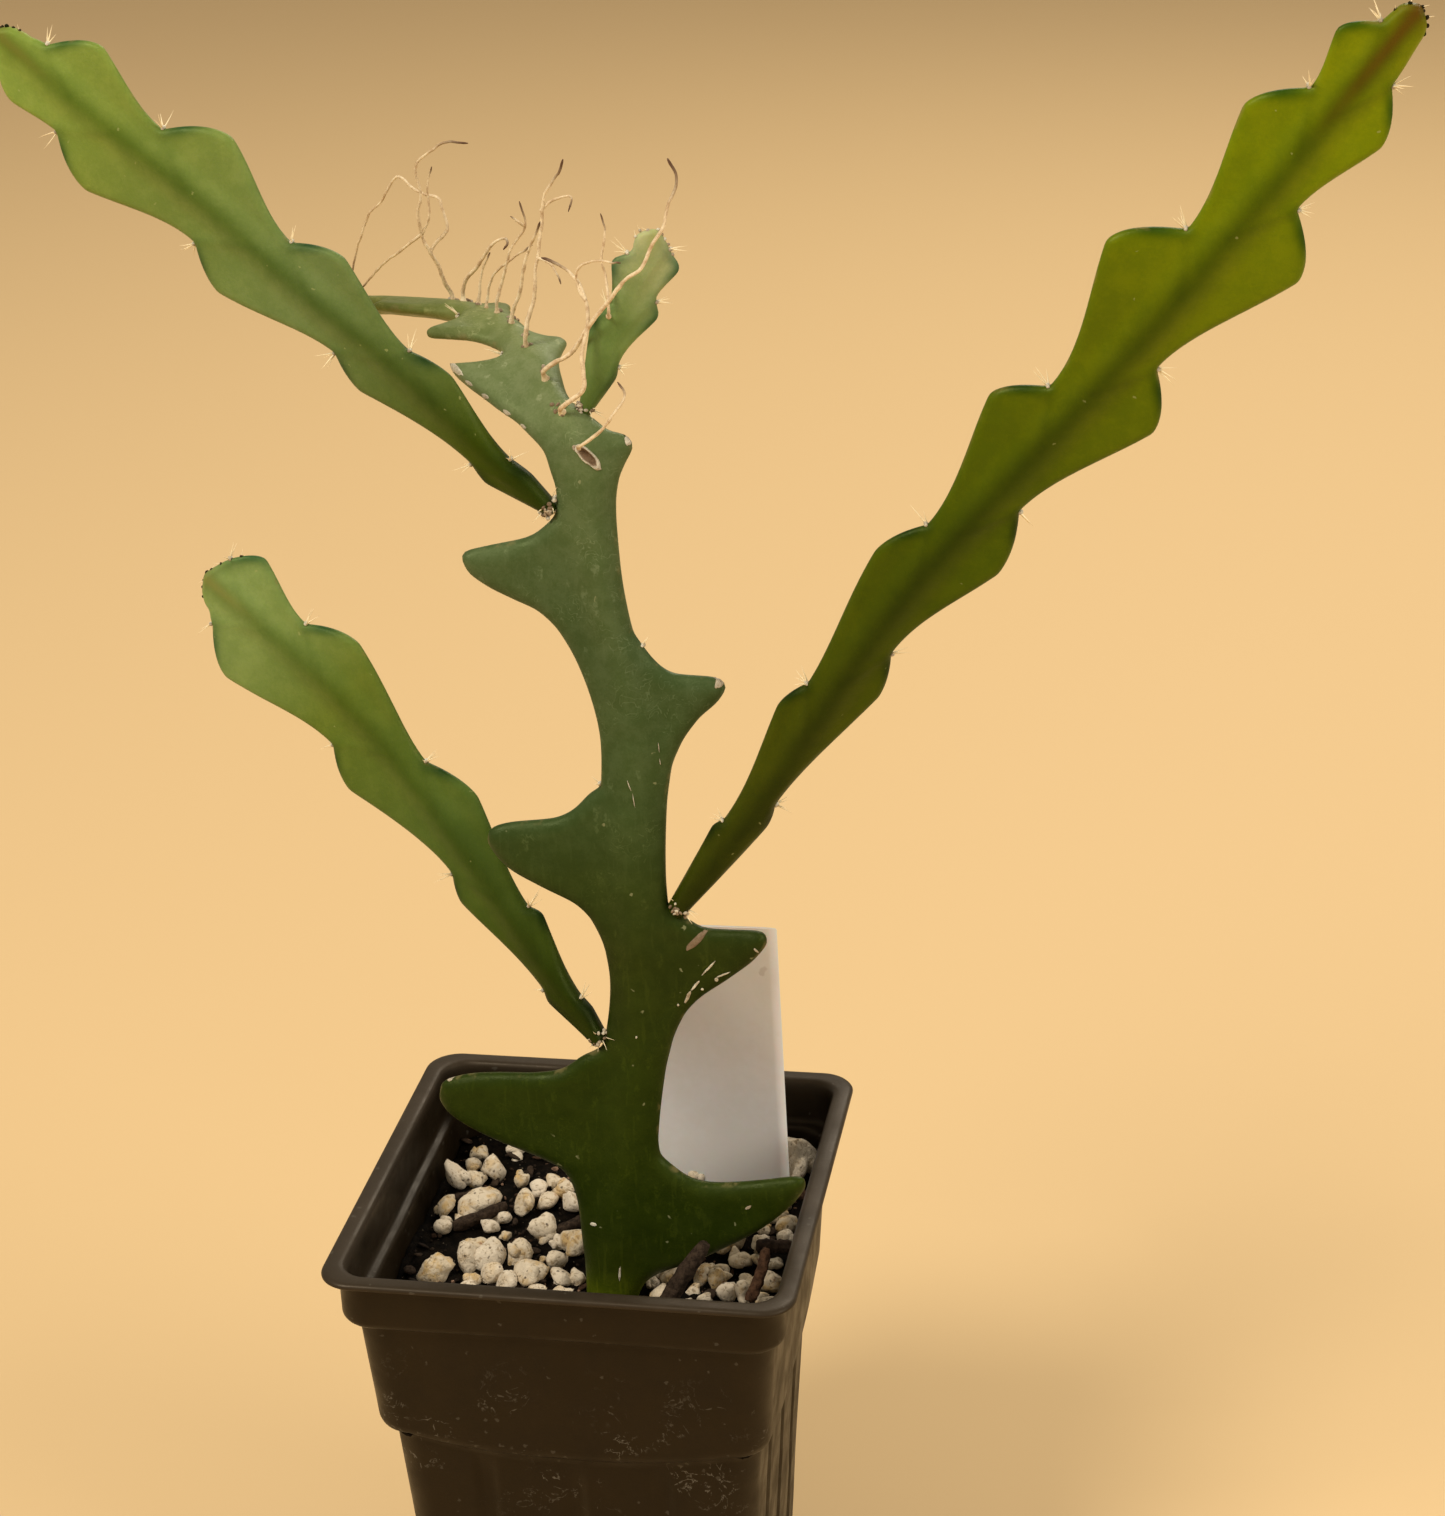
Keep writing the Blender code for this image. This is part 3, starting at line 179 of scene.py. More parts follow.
# A shoot's margin rows are (areole, notch, crest, reach): the station of an areole and how far out it lies,
# then the station and reach of the crest between it and the next one.
# A shoot leaves the main stem at an areole (station, side), its first section "seat" away from it.
SHOOTS = {
    "right_shoot": {
        "areole": (93, "right"), "seat": 1.9,
        "axis": [(43.4, -24, 102.5, 0), (69.2, -31, 144.3, 0), (101, -38, 183.6, 0), (126, -43, 214.8, 0),
                 (141.6, -46, 235.4, 0), (159.5, -48, 259.2, 0)],
        "face": (0.15, -1.0),
        "left": [(0, 2.2, 22, 5.1), (24.8, 4.0, 54.5, 7.9), (62, 5.2, 93.5, 9.6), (103.8, 5.3, 131.5, 13.2),
                 (140, 6.2, 168.5, 16.0), (178.5, 6.2, 201.6, 12.5), (210.4, 5.5, 220.6, 8.4),
                 (225.8, 3.2, 229.6, 2.6)],
        "right": [(0, 1.6, 28.5, 3.9), (34, 2.6, 66.5, 7.9), (76.5, 5.0, 104, 11.0), (117, 5.7, 144.8, 13.4),
                  (154.8, 6.0, 181.8, 15.0), (192.4, 6.2, 209.2, 10.4), (218.4, 5.0, 227.4, 3.9)],
        "thickness": {"rib": 2.4, "wing": 1.15, "foot": 3.4, "round": 1.5}},
    "left_high_shoot": {
        "areole": (178.4, "left"), "seat": 1.6,
        "axis": [(-8, -17, 168, 0), (-27, -14, 185.5, 0), (-46.5, -11, 200.5, 0), (-65.5, -8, 216.6, 0),
                 (-85, -6, 231.5, 0), (-104, -4.2, 247.4, 0)],
        "face": (-0.1, -1.0),
        "left": [(0, 1.5, 13.6, 5.5), (18, 4.6, 44, 9.9), (52.6, 6.8, 77, 13.0), (86.5, 8.5, 110, 14.3),
                 (120.5, 8.2, 130.5, 9.6)],
        "right": [(0, 1.0, 8, 2.3), (13, 1.7, 32, 5.7), (41, 3.6, 61, 10.4), (71.5, 5.4, 92, 13.4),
                  (103.6, 5.9, 121.5, 11.9), (131, 4.4, 134.5, 3.4)],
        "thickness": {"rib": 2.3, "wing": 1.1, "foot": 3.2, "round": 1.5}},
    "left_low_shoot": {
        "areole": (62, "left"), "seat": 1.5,
        "axis": [(0.6, -18, 52.4, 0), (-13.7, -12.5, 71, 0), (-27.3, -8, 88.6, 0), (-43.5, -5, 109, 0),
                 (-58, -3, 122.5, 0), (-74.7, -2, 137.2, 0)],
        "face": (-0.1, -1.0),
        "left": [(0, 2.2, 12.8, 5.1), (15.5, 4.2, 40, 8.5), (46, 6.3, 72.5, 14.2), (82.8, 9.9, 109.5, 16.1),
                 (118.8, 8.0, 121, 6.0)],
        "right": [(0, 1.0, 6.5, 2.4), (10, 1.9, 28.5, 5.8), (31.5, 4.0, 56, 9.2), (68, 4.4, 93.5, 11.4),
                  (104, 6.3, 118.6, 11.6), (124.2, 6.4, 125, 4.6)],
        "thickness": {"rib": 2.3, "wing": 1.1, "foot": 3.2, "round": 1.5}},
    "small_shoot": {
        "areole": (196.4, "right"), "seat": 1.3,
        "axis": [(11.9, -12, 184.5, 0), (14.9, -11, 192.1, 0), (18.4, -10, 199.6, 0), (23.3, -8.9, 211, 0)],
        "face": (0.2, -1.0),
        "left": [(0, 1.2, 17, 4.8), (21, 2.9, 29.6, 5.9), (31.8, 2.7, 35.2, 3.3)],
        "right": [(0, 1.2, 8.8, 3.6), (10.6, 2.9, 22.8, 6.8), (25.2, 4.6, 32.4, 7), (35.3, 3, 36.6, 2.8)],
        "thickness": {"rib": 1.7, "wing": 1.0, "foot": 2.6, "round": 1.3}},
}
TIP_WIDTH = 1.3
# how long the rounded end of a stem is
END_ROUND = 2.2
# travel between two rows of skin
STEM_STEP = 0.8
SHOOT_STEP = 0.7
# buds round a shoot's tip: distance back from its end, and side (-1 is left)
BUDS = [(2.6, -1), (1.5, -1), (0.7, -1), (0.1, 1), (0.5, 1), (1.2, 1), (2.2, 1), (3.4, 1)]
# how pale the young buds at each shoot's tip are
BUD_TONES = {"right_shoot": 0.0, "left_high_shoot": 0.05, "left_low_shoot": 0.1, "small_shoot": 0.85}

# Aerial roots: a strand has a radius, the place of its foot on a stem's front (stem, station, out), or
# none where it branches off, and the points it passes.
ROOTS = {
    "aerial_roots_left": [
        (0.42, ("main_stem", 248.5, 0.5),
         [(-27, 24, 191), (-28, 22.5, 195), (-29, 21, 198), (-30, 19.5, 202.5), (-30, 18, 207),
          (-29, 17, 211.5), (-29.5, 16, 216.5), (-26, 15, 220), (-22.5, 14.5, 222), (-18, 14, 222)]),
        (0.34, None,
         [(-29, 21, 198), (-27.5, 21, 200.5), (-25, 21, 203), (-26, 22, 206.5), (-27, 22.5, 209),
          (-31, 23.5, 210), (-36, 25.5, 212.5), (-39.5, 27.5, 208), (-43, 29, 204.5), (-46.5, 31, 198),
          (-49, 33, 192.5), (-51, 34, 187.5)]),
        (0.34, None,
         [(-30, 19.5, 202.5), (-36, 23, 198), (-41.5, 27, 193.5), (-47, 31, 188)]),
        (0.3, None,
         [(-30, 19.5, 202.5), (-28, 18.5, 206.5), (-27.5, 17.5, 213), (-26, 16.5, 217)])],
    "aerial_roots_curled": [
        (0.45, ("main_stem", 245.5, 1),
         [(-21.5, 22, 193.5), (-17.5, 19, 198), (-14, 17, 202), (-12, 16, 202.5), (-11.5, 15, 202),
          (-12.5, 15, 200.5)]),
        (0.38, ("main_stem", 241, 1.5),
         [(-18.5, 20, 194), (-16, 18, 199.5)])],
    "aerial_roots_middle": [
        (0.46, ("main_stem", 217.2, 0),
         [(-4.5, 1, 191), (-3.5, 1.5, 195.5), (-2.5, 2, 202.5), (-1.5, 2.5, 209.5), (-0.5, 2, 214.5),
          (2.5, 1, 219), (4, 0, 222)]),
        (0.44, ("main_stem", 227, 0.8),
         [(-8.5, 8.5, 192.5), (-6.5, 7, 199.5), (-4.5, 5.5, 204), (-1.5, 2.5, 209.5)]),
        (0.38, ("main_stem", 233, 0.6),
         [(-12, 13, 196), (-11, 12, 199), (-9, 11, 203), (-6.5, 9, 207), (-7, 8, 212)]),
        (0.32, ("main_stem", 237, 0.6),
         [(-15, 15.5, 195), (-11, 12, 199), (-7.5, 9, 201.5), (-4.5, 5.5, 204)]),
        (0.3, None,
         [(-6.5, 9, 207), (-7.5, 8, 208), (-9, 8, 209)]),
        (0.32, None,
         [(-1.5, 2.5, 211.5), (2, 2, 214), (5, 1, 214.5), (4.5, 0, 212)]),
        (0.3, None,
         [(-2.5, 2, 202.5), (0.5, 0, 201.5), (3, -2, 198.5)])],
    "aerial_roots_right": [
        (0.5, ("main_stem", 206, -0.2),
         [(5.5, -11, 187), (10.5, -14.5, 193.5), (14.5, -16, 198.5), (19, -16.5, 203.5),
          (21.5, -16, 205.5), (23.5, -15, 209.5), (25.5, -14, 212.5), (26.5, -13, 216.5), (28, -12, 221),
          (26.5, -11, 225)]),
        (0.5, ("main_stem", 197.3, -0.4),
         [(9, -17.5, 181.5), (9.5, -16.5, 188), (10.5, -14.5, 193.5), (10, -12.5, 198), (6.5, -9, 202.5),
          (0.5, -6, 204.5)]),
        (0.32, None,
         [(10, -12.5, 198), (8, -11, 201.5), (9, -12, 204.5), (13.5, -14, 206), (18, -16, 206.5)])],
    "aerial_root_front": [
        (0.4, ("main_stem", 190.3, -0.1),
         [(14, -22.5, 176), (17, -22.5, 180), (18.5, -21, 182.5), (17, -20, 184.5)])],
    "aerial_root_tip": [
        (0.34, ("small_shoot", 19.4, -2.2),
         [(14, -12.5, 201.5), (13.5, -11.5, 207.5), (14, -11.5, 211), (13.5, -11.5, 214.5)])],
}
ROOT_FOOT = 1.3

# A shoot's colours from foot to tip, the tint of its rib (partly its own darker green, partly painted shade
# along the midrib) and the colour of its tip
SHOOT_COLOURS = {
    "right_shoot": ([(0.0, (0.022, 0.033, 0.0005)), (0.17, (0.033, 0.046, 0.0005)),
                     (0.46, (0.042, 0.068, 0.0003)), (0.7, (0.083, 0.118, 0.0004)),
                     (0.85, (0.11, 0.16, 0.0006)), (1.0, (0.14, 0.18, 0.001))],
                    (0.42, 0.47, 0.5), (0.1, 0.045, 0.003, 1)),
    "left_high_shoot": ([(0.0, (0.02, 0.034, 0.0015)), (0.14, (0.035, 0.058, 0.0015)),
                         (0.45, (0.102, 0.156, 0.046)), (0.8, (0.132, 0.195, 0.032)),
                         (1.0, (0.175, 0.26, 0.045))],
                        (0.52, 0.6, 0.4), (0.16, 0.17, 0.03, 1)),
    "left_low_shoot": ([(0.0, (0.014, 0.024, 0.0006)), (0.14, (0.019, 0.035, 0.0009)),
                        (0.45, (0.053, 0.094, 0.015)), (0.7, (0.083, 0.129, 0.016)),
                        (0.95, (0.152, 0.237, 0.07))],
                       (0.6, 0.66, 0.5), (0.2, 0.22, 0.06, 1)),
    "small_shoot": ([(0.0, (0.075, 0.12, 0.028)), (0.5, (0.125, 0.2, 0.056)), (1.0, (0.31, 0.35, 0.17))],
                    (0.8, 0.84, 0.75), (0.34, 0.36, 0.14, 1)),
}

# Corky scars on the old stem's front: station, out, half length, half width, turn in degrees and tone
SCARS = [(214.8, -13.9, 2.6, 0.55, -10, 1.0), (210.2, -13.1, 0.9, 0.3, -20, 0.9),
         (206.4, -11.7, 0.7, 0.3, -35, 0.9), (202.6, -9.6, 0.8, 0.28, -38, 0.95),
         (199.4, -8.2, 0.6, 0.25, -30, 0.9), (189.8, 9.0, 0.9, 0.6, 20, 0.9),
         (141.2, 18.6, 1.2, 0.7, 60, 0.85), (87.3, 12.6, 3.0, 0.75, 49, 0.62),
         (81.2, 14.7, 2.3, 0.22, 45, 0.95), (77.6, 11.9, 1.5, 0.25, 40, 0.95),
         (75.0, 10.2, 1.6, 0.38, 25, 0.85), (79.6, 17.6, 1.4, 0.2, 72, 0.9),
         (78.6, 16.2, 0.5, 0.4, 0, 0.9), (76.6, 13.2, 0.35, 0.3, 0, 1.0), (73.2, 8.2, 0.3, 0.25, 0, 0.95),
         (84.2, 24.6, 0.8, 0.2, 150, 0.85), (18.4, -4.6, 0.75, 0.5, 80, 1.0),
         (23.5, 27.5, 0.7, 0.4, 60, 0.8), (45.6, -38.4, 0.7, 0.4, 70, 0.9),
         (122.2, -0.6, 1.2, 0.1, -22, 0.95), (119.0, 0.5, 1.5, 0.09, -12, 0.95),
         (130.3, 5.1, 1.0, 0.08, -5, 0.9), (127.4, 5.3, 0.7, 0.08, -8, 0.9), (7.6, 2.0, 1.9, 0.24, 0, 1.0),
         (66.0, 0.0, 0.3, 0.22, 0, 0.95)]
# the old wound on the rib that a root came out of
WOUND = (188.6, 1.1, 3.1, 1.05, 138)
# knobbly stubs of cork round the feet of the roots: station, out, how many and how wide they spread
STUBS = [(198.4, 0.2, 9, 1.2), (197.8, 2.8, 8, 0.9), (208.5, 0.4, 6, 0.8), (190.6, -0.9, 5, 0.7),
         (217.2, 0.2, 5, 0.8), (220.5, 1.2, 4, 0.7), (227.6, 1.0, 5, 0.8), (229.5, 2.2, 4, 0.7),
         (233.8, 1.6, 4, 0.7), (241.0, 1.3, 4, 0.7), (246.0, 3.0, 4, 0.7), (248.4, 0.5, 6, 0.9)]
# a scar's height over the skin, how far its rim runs into the skin, and a hollow one's floor
SCAR_HEIGHT = 0.22
SCAR_ROOT = 0.35
SCAR_FLOOR = 0.1

# Stage, in metres and watts: lights are name, place, size and power
FLOOR_RADIUS = 9
FLOOR_COLOUR = (0.7, 0.5, 0.255, 1)
LIGHTS = [("key", (-0.9, -1.0, 1.6), 0.8, 28), ("fill", (1.3, -0.5, 0.9), 0.9, 11),
          ("back", (0.3, 1.3, 1.4), 1.0, 14)]
LIGHT_COLOUR = (1.0, 0.92, 0.8)
LIGHTS_AIM = (0.02, 0, 0.2)
SKY_COLOUR = (1.0, 0.86, 0.66, 1)
SKY_STRENGTH = 0.42

# Camera of the photo, solved from the pot's rim: place from the rim's middle in millimetres, then yaw, pitch
# and roll in degrees and the lens for a sensor 36 mm wide
CAMERA_PLACE = (138.7, -579.8, 354.8)
CAMERA_TURNS = (-10.56, 23.40, -2.07)
CAMERA_LENS = 75.06


def natural_spline(stations, values):
    """The smooth curve through values at stations with no bend at its ends, as a function. Between two
    stations h apart it is a*v0 + b*v1 + ((a^3 - a)*m0 + (b^3 - b)*m1)*h^2/6, with b = 1 - a and bends m."""
    s = np.asarray(stations, float)
    v = np.asarray(values, float)
    h = np.diff(s)
    matrix = np.eye(len(s))
    bend = np.zeros_like(v)
    for i in range(1, len(s) - 1):
        matrix[i, i - 1:i + 2] = h[i - 1], 2 * (h[i - 1] + h[i]), h[i]
        bend[i] = 6 * ((v[i + 1] - v[i]) / h[i] - (v[i] - v[i - 1]) / h[i - 1])
    bend = np.linalg.solve(matrix, bend)

    def at(t):
        t = np.asarray(t, float)
        i = np.clip(np.searchsorted(s, t) - 1, 0, len(h) - 1)
        a = ((s[i + 1] - t) / h[i])[..., None]
        b = 1 - a
        curve = (a ** 3 - a) * bend[i] + (b ** 3 - b) * bend[i + 1]
        return a * v[i] + b * v[i + 1] + curve * (h[i] ** 2)[..., None] / 6
    return at


def steady_curve(points):
    """The smooth curve through (station, value) points that never swings past them, as a function. On a
    step it is y0 + (y1 - y0)*(3 - 2f)f^2 + f(1 - f)((1 - f)*t0 - f*t1)*h, with slopes t at its ends."""
    x, y = np.array(points, float).T
    h = np.diff(x)
    slopes = np.diff(y) / h
    turn = slopes[:-1] * slopes[1:]
    middle = np.where(turn > 0, 2 * turn / np.where(turn > 0, slopes[:-1] + slopes[1:], 1), 0)
    tangent = np.concatenate([[slopes[0]], middle, [slopes[-1]]])

    def at(t):
        t = np.clip(t, x[0], x[-1])
        i = np.clip(np.searchsorted(x, t) - 1, 0, len(h) - 1)
        f = (t - x[i]) / h[i]
        rise = (3 - 2 * f) * f * f
        swing = f * (1 - f) * ((1 - f) * tangent[i] - f * tangent[i + 1]) * h[i]
        return y[i] + (y[i + 1] - y[i]) * rise + swing
    return at


def lobed_margin(rows, end):
    """The margin of a shoot as a function: from each areole it swells to the crest by x^2(2 - x), or evenly
    along the stalk, and falls to the next one by 1 - x^1.8, with x from 0 to 1 on each stretch."""
    knots = np.array(rows + [(end, TIP_WIDTH, end, TIP_WIDTH)], float)

    def at(s):
        i = np.clip(np.searchsorted(knots[:-1, 0], s, side="right") - 1, 0, len(rows) - 1)
        areole, notch, crest, reach = (knots[i, column] for column in range(4))
        following, following_notch = knots[i + 1, 0], knots[i + 1, 1]
        x = np.clip((s - areole) / (crest - areole), 0, 1)
        rise = notch + (reach - notch) * np.where(i == 0, x, x * x * (2 - x))
        x = np.clip((s - crest) / (following - crest), 0, 1)
        return np.where(s < crest, rise, following_notch + (reach - following_notch) * (1 - x ** 1.8))
    return at


def value_noise(x, y, seed):
    """Smooth noise from -1 to 1 over a plane: random values at the whole numbers, blended by 3f^2 - 2f^3."""
    table = np.random.default_rng(seed).uniform(-1, 1, (128, 128))
    i = np.floor(x).astype(int)
    j = np.floor(y).astype(int)
    f = x - i
    g = y - j
    f = f * f * (3 - 2 * f)
    g = g * g * (3 - 2 * g)
    low = table[i % 128, j % 128] * (1 - f) + table[(i + 1) % 128, j % 128] * f
    high = table[i % 128, (j + 1) % 128] * (1 - f) + table[(i + 1) % 128, (j + 1) % 128] * f
    return low * (1 - g) + high * g


def ease(x):
    """0 below 0, 1 above 1 and 3x^2 - 2x^3 between them."""
    x = np.clip(x, 0, 1)
    return x * x * (3 - 2 * x)


def unit(v):
    return v / np.linalg.norm(v, axis=-1, keepdims=True)


def sleeves(rings, marks=None):
    """Closed tubes through rings (tube, row, place, xyz), closed at both ends to the middle of the ring.
    marks are named values at the rings' places, in the shape (tube, row, place)."""
    tubes, rows, count = rings.shape[:3]
    size = rows * count
    ends = rings[:, [0, -1]].mean(axis=2)
    tube = np.arange(tubes)[:, None, None] * size
    row = np.arange(rows - 1)[None, :, None] * count
    a = np.arange(count)[None, None, :]
    b = (a + 1) % count
    corners = [tube + row + a, tube + row + b, tube + row + count + b, tube + row + count + a]
    quads = np.stack(corners, axis=-1).reshape(-1, 4)
    a, b, tube = a[0], b[0], tube[:, 0]
    middle = tubes * size + 2 * np.arange(tubes)[:, None] + 0 * a
    low = np.stack([tube + b, tube + a, middle], axis=-1).reshape(-1, 3)
    top = tube + size - count
    high = np.stack([top + a, top + b, middle + 1], axis=-1).reshape(-1, 3)
    named = {name: np.concatenate([v.reshape(-1), v[:, [0, -1]].mean(axis=2).reshape(-1)])
             for name, v in (marks or {}).items()}
    return {"points": np.concatenate([rings.reshape(-1, 3), ends.reshape(-1, 3)]), "quads": quads,
            "tris": np.concatenate([low, high]), "marks": named}


def gathered(shapes):
    """Several shapes as one."""
    starts = np.cumsum([0] + [len(shape["points"]) for shape in shapes])
    names = {name for shape in shapes for name in shape["marks"]}
    marks = {name: np.concatenate([shape["marks"].get(name, np.zeros(len(shape["points"])))
                                   for shape in shapes]) for name in names}
    return {"points": np.concatenate([shape["points"] for shape in shapes]),
            "quads": np.concatenate([shape["quads"] + at for shape, at in zip(shapes, starts)]),
            "tris": np.concatenate([shape["tris"] + at for shape, at in zip(shapes, starts)]), "marks": marks}


def piece(name, shape, material, nodes=()):
    """A smooth mesh object from a shape, with its faces turned out. It rides on the root body, and may
    replace CAD nodes."""
    mesh = bpy.data.meshes.new(name)
    points = (shape["points"] + (0, 0, RIM_HEIGHT)) * MM
    mesh.from_pydata(points.tolist(), [], shape["quads"].tolist() + shape["tris"].tolist())
    for mark, values in shape["marks"].items():
        mesh.attributes.new(mark, "FLOAT", "POINT").data.foreach_set("value", values.astype(np.float32))
    bm = bmesh.new()
    bm.from_mesh(mesh)
    bmesh.ops.recalc_face_normals(bm, faces=bm.faces)
    bm.to_mesh(mesh)
    bm.free()
    mesh.polygons.foreach_set("use_smooth", np.ones(len(mesh.polygons), bool))
    mesh.materials.append(material)
    obj = bpy.data.objects.new(name, mesh)
    bpy.context.scene.collection.objects.link(obj)
    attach(obj, "root")
    if nodes:
        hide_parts(*nodes)
    return obj


WAYS = {"left": -1, "right": 1}


class Sheet:
    """A flat stem: its axis, which way it faces, its margins and its skin."""

    def __init__(self, axis, face, start, margins, leans, thickness, skin, areoles):
        points = np.array([row[:3] for row in axis], float)
        tilts = np.radians([row[3] for row in axis])
        sideways, forward = np.array(face) / math.hypot(*face)
        fronts = np.stack([sideways * np.cos(tilts), forward * np.cos(tilts), np.sin(tilts)], axis=1)
        stations = np.concatenate([[0], np.cumsum(np.linalg.norm(np.diff(points, axis=0), axis=1))]) + start
        self.start, self.end = stations[0], stations[-1]
        self.point = natural_spline(stations, points)
        self.front = natural_spline(stations, fronts)
        self.margins, self.leans, self.thickness, self.skin = margins, leans, thickness, skin
        self.areoles = np.array([self.flat(s, self.margin(s, WAYS[side]) * WAYS[side])
                                 for s, side in areoles])

    def margin(self, s, out):
        """How far out the sheet reaches at s: its margin's mean over five stations up to soft away, rounded
        off at its end by the root of 1 - t^2."""
        s = np.asarray(s, float)
        soft = self.skin["soft"]
        reach = sum(np.where(out < 0, self.margins["left"](s + k), self.margins["right"](s + k))
                    for k in (-soft, -soft / 2, 0, soft / 2, soft)) / 5
        t = np.clip((s - self.end + END_ROUND) / END_ROUND, 0, 1)
        return reach * np.sqrt(1 - 0.985 * t * t)

    def flat(self, s, out):
        """The place (s, out) in the flattened sheet: (s + lean*(out/LEAN_REACH)^2, out)."""
        s, out = np.broadcast_arrays(np.asarray(s, float), out)
        lean = np.where(out < 0, self.leans["left"](s), self.leans["right"](s))
        return np.stack([s + lean * (out / LEAN_REACH) ** 2, out], axis=-1)

    def frames(self, s):
        """Centre, run, across and front at stations s."""
        run = unit(self.point(s + 0.05) - self.point(s - 0.05))
        front = self.front(s)
        front = unit(front - (front * run).sum(axis=-1, keepdims=True) * run)
        return self.point(s), run, np.cross(run, front), front

    def place(self, s, out, lift):
        """The place at station s, out across the sheet (left is negative) and lifted off its middle."""
        s, out, lift = np.broadcast_arrays(np.asarray(s, float), out, lift)
        centre, run, across, front = self.frames(s)
        along = self.flat(s, out)[..., 0] - s
        return centre + along[..., None] * run + out[..., None] * across + lift[..., None] * front

    def rows(self, first, step):
        """Stations from first to the end, with equal travel along the axis and both margins between them."""
        s = np.append(np.arange(first, self.end, 0.02), self.end)
        left, right = self.margin(s, -1), self.margin(s, 1)
        travel = np.sqrt(np.diff(s) ** 2 + 0.5 * (np.diff(left) ** 2 + np.diff(right) ** 2))
        travel = np.concatenate([[0], np.cumsum(travel)])
        return np.interp(np.linspace(0, travel[-1], int(travel[-1] / step)), travel, s)

    def set_outline(self, rows):
        """Keeps the outline in the flattened sheet through the rows' ends."""
        left = self.flat(rows, -self.margin(rows, -1))
        right = self.flat(rows, self.margin(rows, 1))
        self.outline = np.concatenate([left, right[::-1]])

    def edge_distance(self, s, out):
        """Distance in the flattened sheet to the outline's nearest stretch, taken 500 places at a time."""
        places = self.flat(s, out)
        shape = places.shape[:-1]
        places = places.reshape(-1, 2)
        a, step = self.outline[:-1], np.diff(self.outline, axis=0)
        length = np.maximum((step ** 2).sum(axis=1), 1e-12)
        nearest = []
        for some in np.array_split(places, len(places) // 500 + 1):
            away = some[:, None, :] - a
            t = np.clip((away * step).sum(axis=2) / length, 0, 1)
            nearest.append((((away - t[..., None] * step) ** 2).sum(axis=2)).min(axis=1))
        return np.sqrt(np.concatenate(nearest)).reshape(shape)

    def vein(self, s, out):
        """Ridges that leave the rib and run out to the areoles: exp(-(distance/0.9)^2) from each line."""
        places = self.flat(s, out)
        ridge = np.zeros(places.shape[:-1])
        for x, y in self.areoles:
            root = np.array([x - self.skin["vein_run"], 0.0])
            step = np.array([x, y * 0.9]) - root
            away = places - root
            t = np.clip((away * step).sum(axis=-1) / step.dot(step), 0, 1)
            gap = np.linalg.norm(away - t[..., None] * step, axis=-1)
            ridge = np.maximum(ridge, np.exp(-(gap / 0.9) ** 2))
        return ridge

    def lifts(self, s, out, face):
        """Lift off the middle of the front (face 1) or back (face -1): the half thickness
        wing + (rib - wing)(1 + cos(pi*min(|out|/(1.6*foot), 1)))/2, with lumps and veins, times the root of
        1 - (1 - d)^2 towards the edge, on a middle that waves more the further out it is."""
        first, last, share = self.thickness.get("taper", (self.end - 30, self.end, 0.6))
        slim = 1 - (1 - share) * np.clip((s - first) / (last - first), 0, 1)
        away = np.clip(np.abs(out) / (1.6 * self.thickness["foot"]), 0, 1)
        half = self.thickness["wing"] + (self.thickness["rib"] - self.thickness["wing"]) * (
            0.5 + 0.5 * np.cos(np.pi * away))
        distance = self.edge_distance(s, out)
        inner = np.clip(distance / (self.thickness["round"] * slim), 0, 1)
        edge = np.sqrt(1 - (1 - inner) ** 2)
        lump, cell, seed = self.skin["lump"], self.skin["cell"], self.skin["seed"] + (face > 0)
        texture = lump * (value_noise(s / cell, out / cell + 40, seed)
                          + 0.5 * value_noise(s / cell * 2.3, out / cell * 2.3 + 40, seed + 2))
        half = half * slim + texture + self.skin["vein"] * self.vein(s, out) * ease(away * 2)
        height, length, phase = self.skin["wave"]
        wave = height * np.sin(2 * np.pi * s / length + phase + 0.9 * (out > 0)) * (out / 12) ** 2
        wave = np.clip(wave, -1.6 * height, 1.6 * height)
        return wave + face * half * edge, distance

    def shape(self, first, step):
        """The sheet's skin as one sleeve, its front and back meeting along both edges. Below each areole the
        mark "areole", painted shade along the lobe's edge, is exp(-((ds + 3.2)/3.4)^2)*exp(-(edge/1.5)^2)."""
        rows = self.rows(first, step)
        self.set_outline(rows)
        s = rows[:, None]
        sides = []
        for way in (-1, 1):
            margin = self.margin(s, way)
            edge = np.minimum(self.thickness["round"], 0.8 * margin)
            rounding = edge * (1 - np.cos(np.linspace(0, np.pi / 2, 7)))
            inner = edge + (margin - edge) * np.linspace(0, 1, 15)[1:]
            sides.append(way * (margin - np.concatenate([rounding, inner], axis=1)))
        out = np.concatenate([sides[0], sides[1][:, -2::-1]], axis=1)
        s = np.broadcast_to(s, out.shape)
        front, distance = self.lifts(s, out, 1)
        back, _ = self.lifts(s, out, -1)
        ring_s = np.concatenate([s, s[:, -2:0:-1]], axis=1)
        ring_out = np.concatenate([out, out[:, -2:0:-1]], axis=1)
        rings = self.place(ring_s, ring_out, np.concatenate([front, back[:, -2:0:-1]], axis=1))
        edge = np.concatenate([distance, distance[:, -2:0:-1]], axis=1)
        away = self.flat(ring_s, ring_out)[:, :, None] - self.areoles
        beside = ((away[..., 1] * self.areoles[:, 1] > -self.areoles[:, 1] ** 2)
                  * (ring_out[..., None] * self.areoles[:, 1] > 0))
        # painted shade: a dark band along the lobe's edge just below each areole
        areole_shade_band = (np.exp(-((away[..., 0] + 3.2) / 3.4) ** 2) * beside).sum(axis=-1)
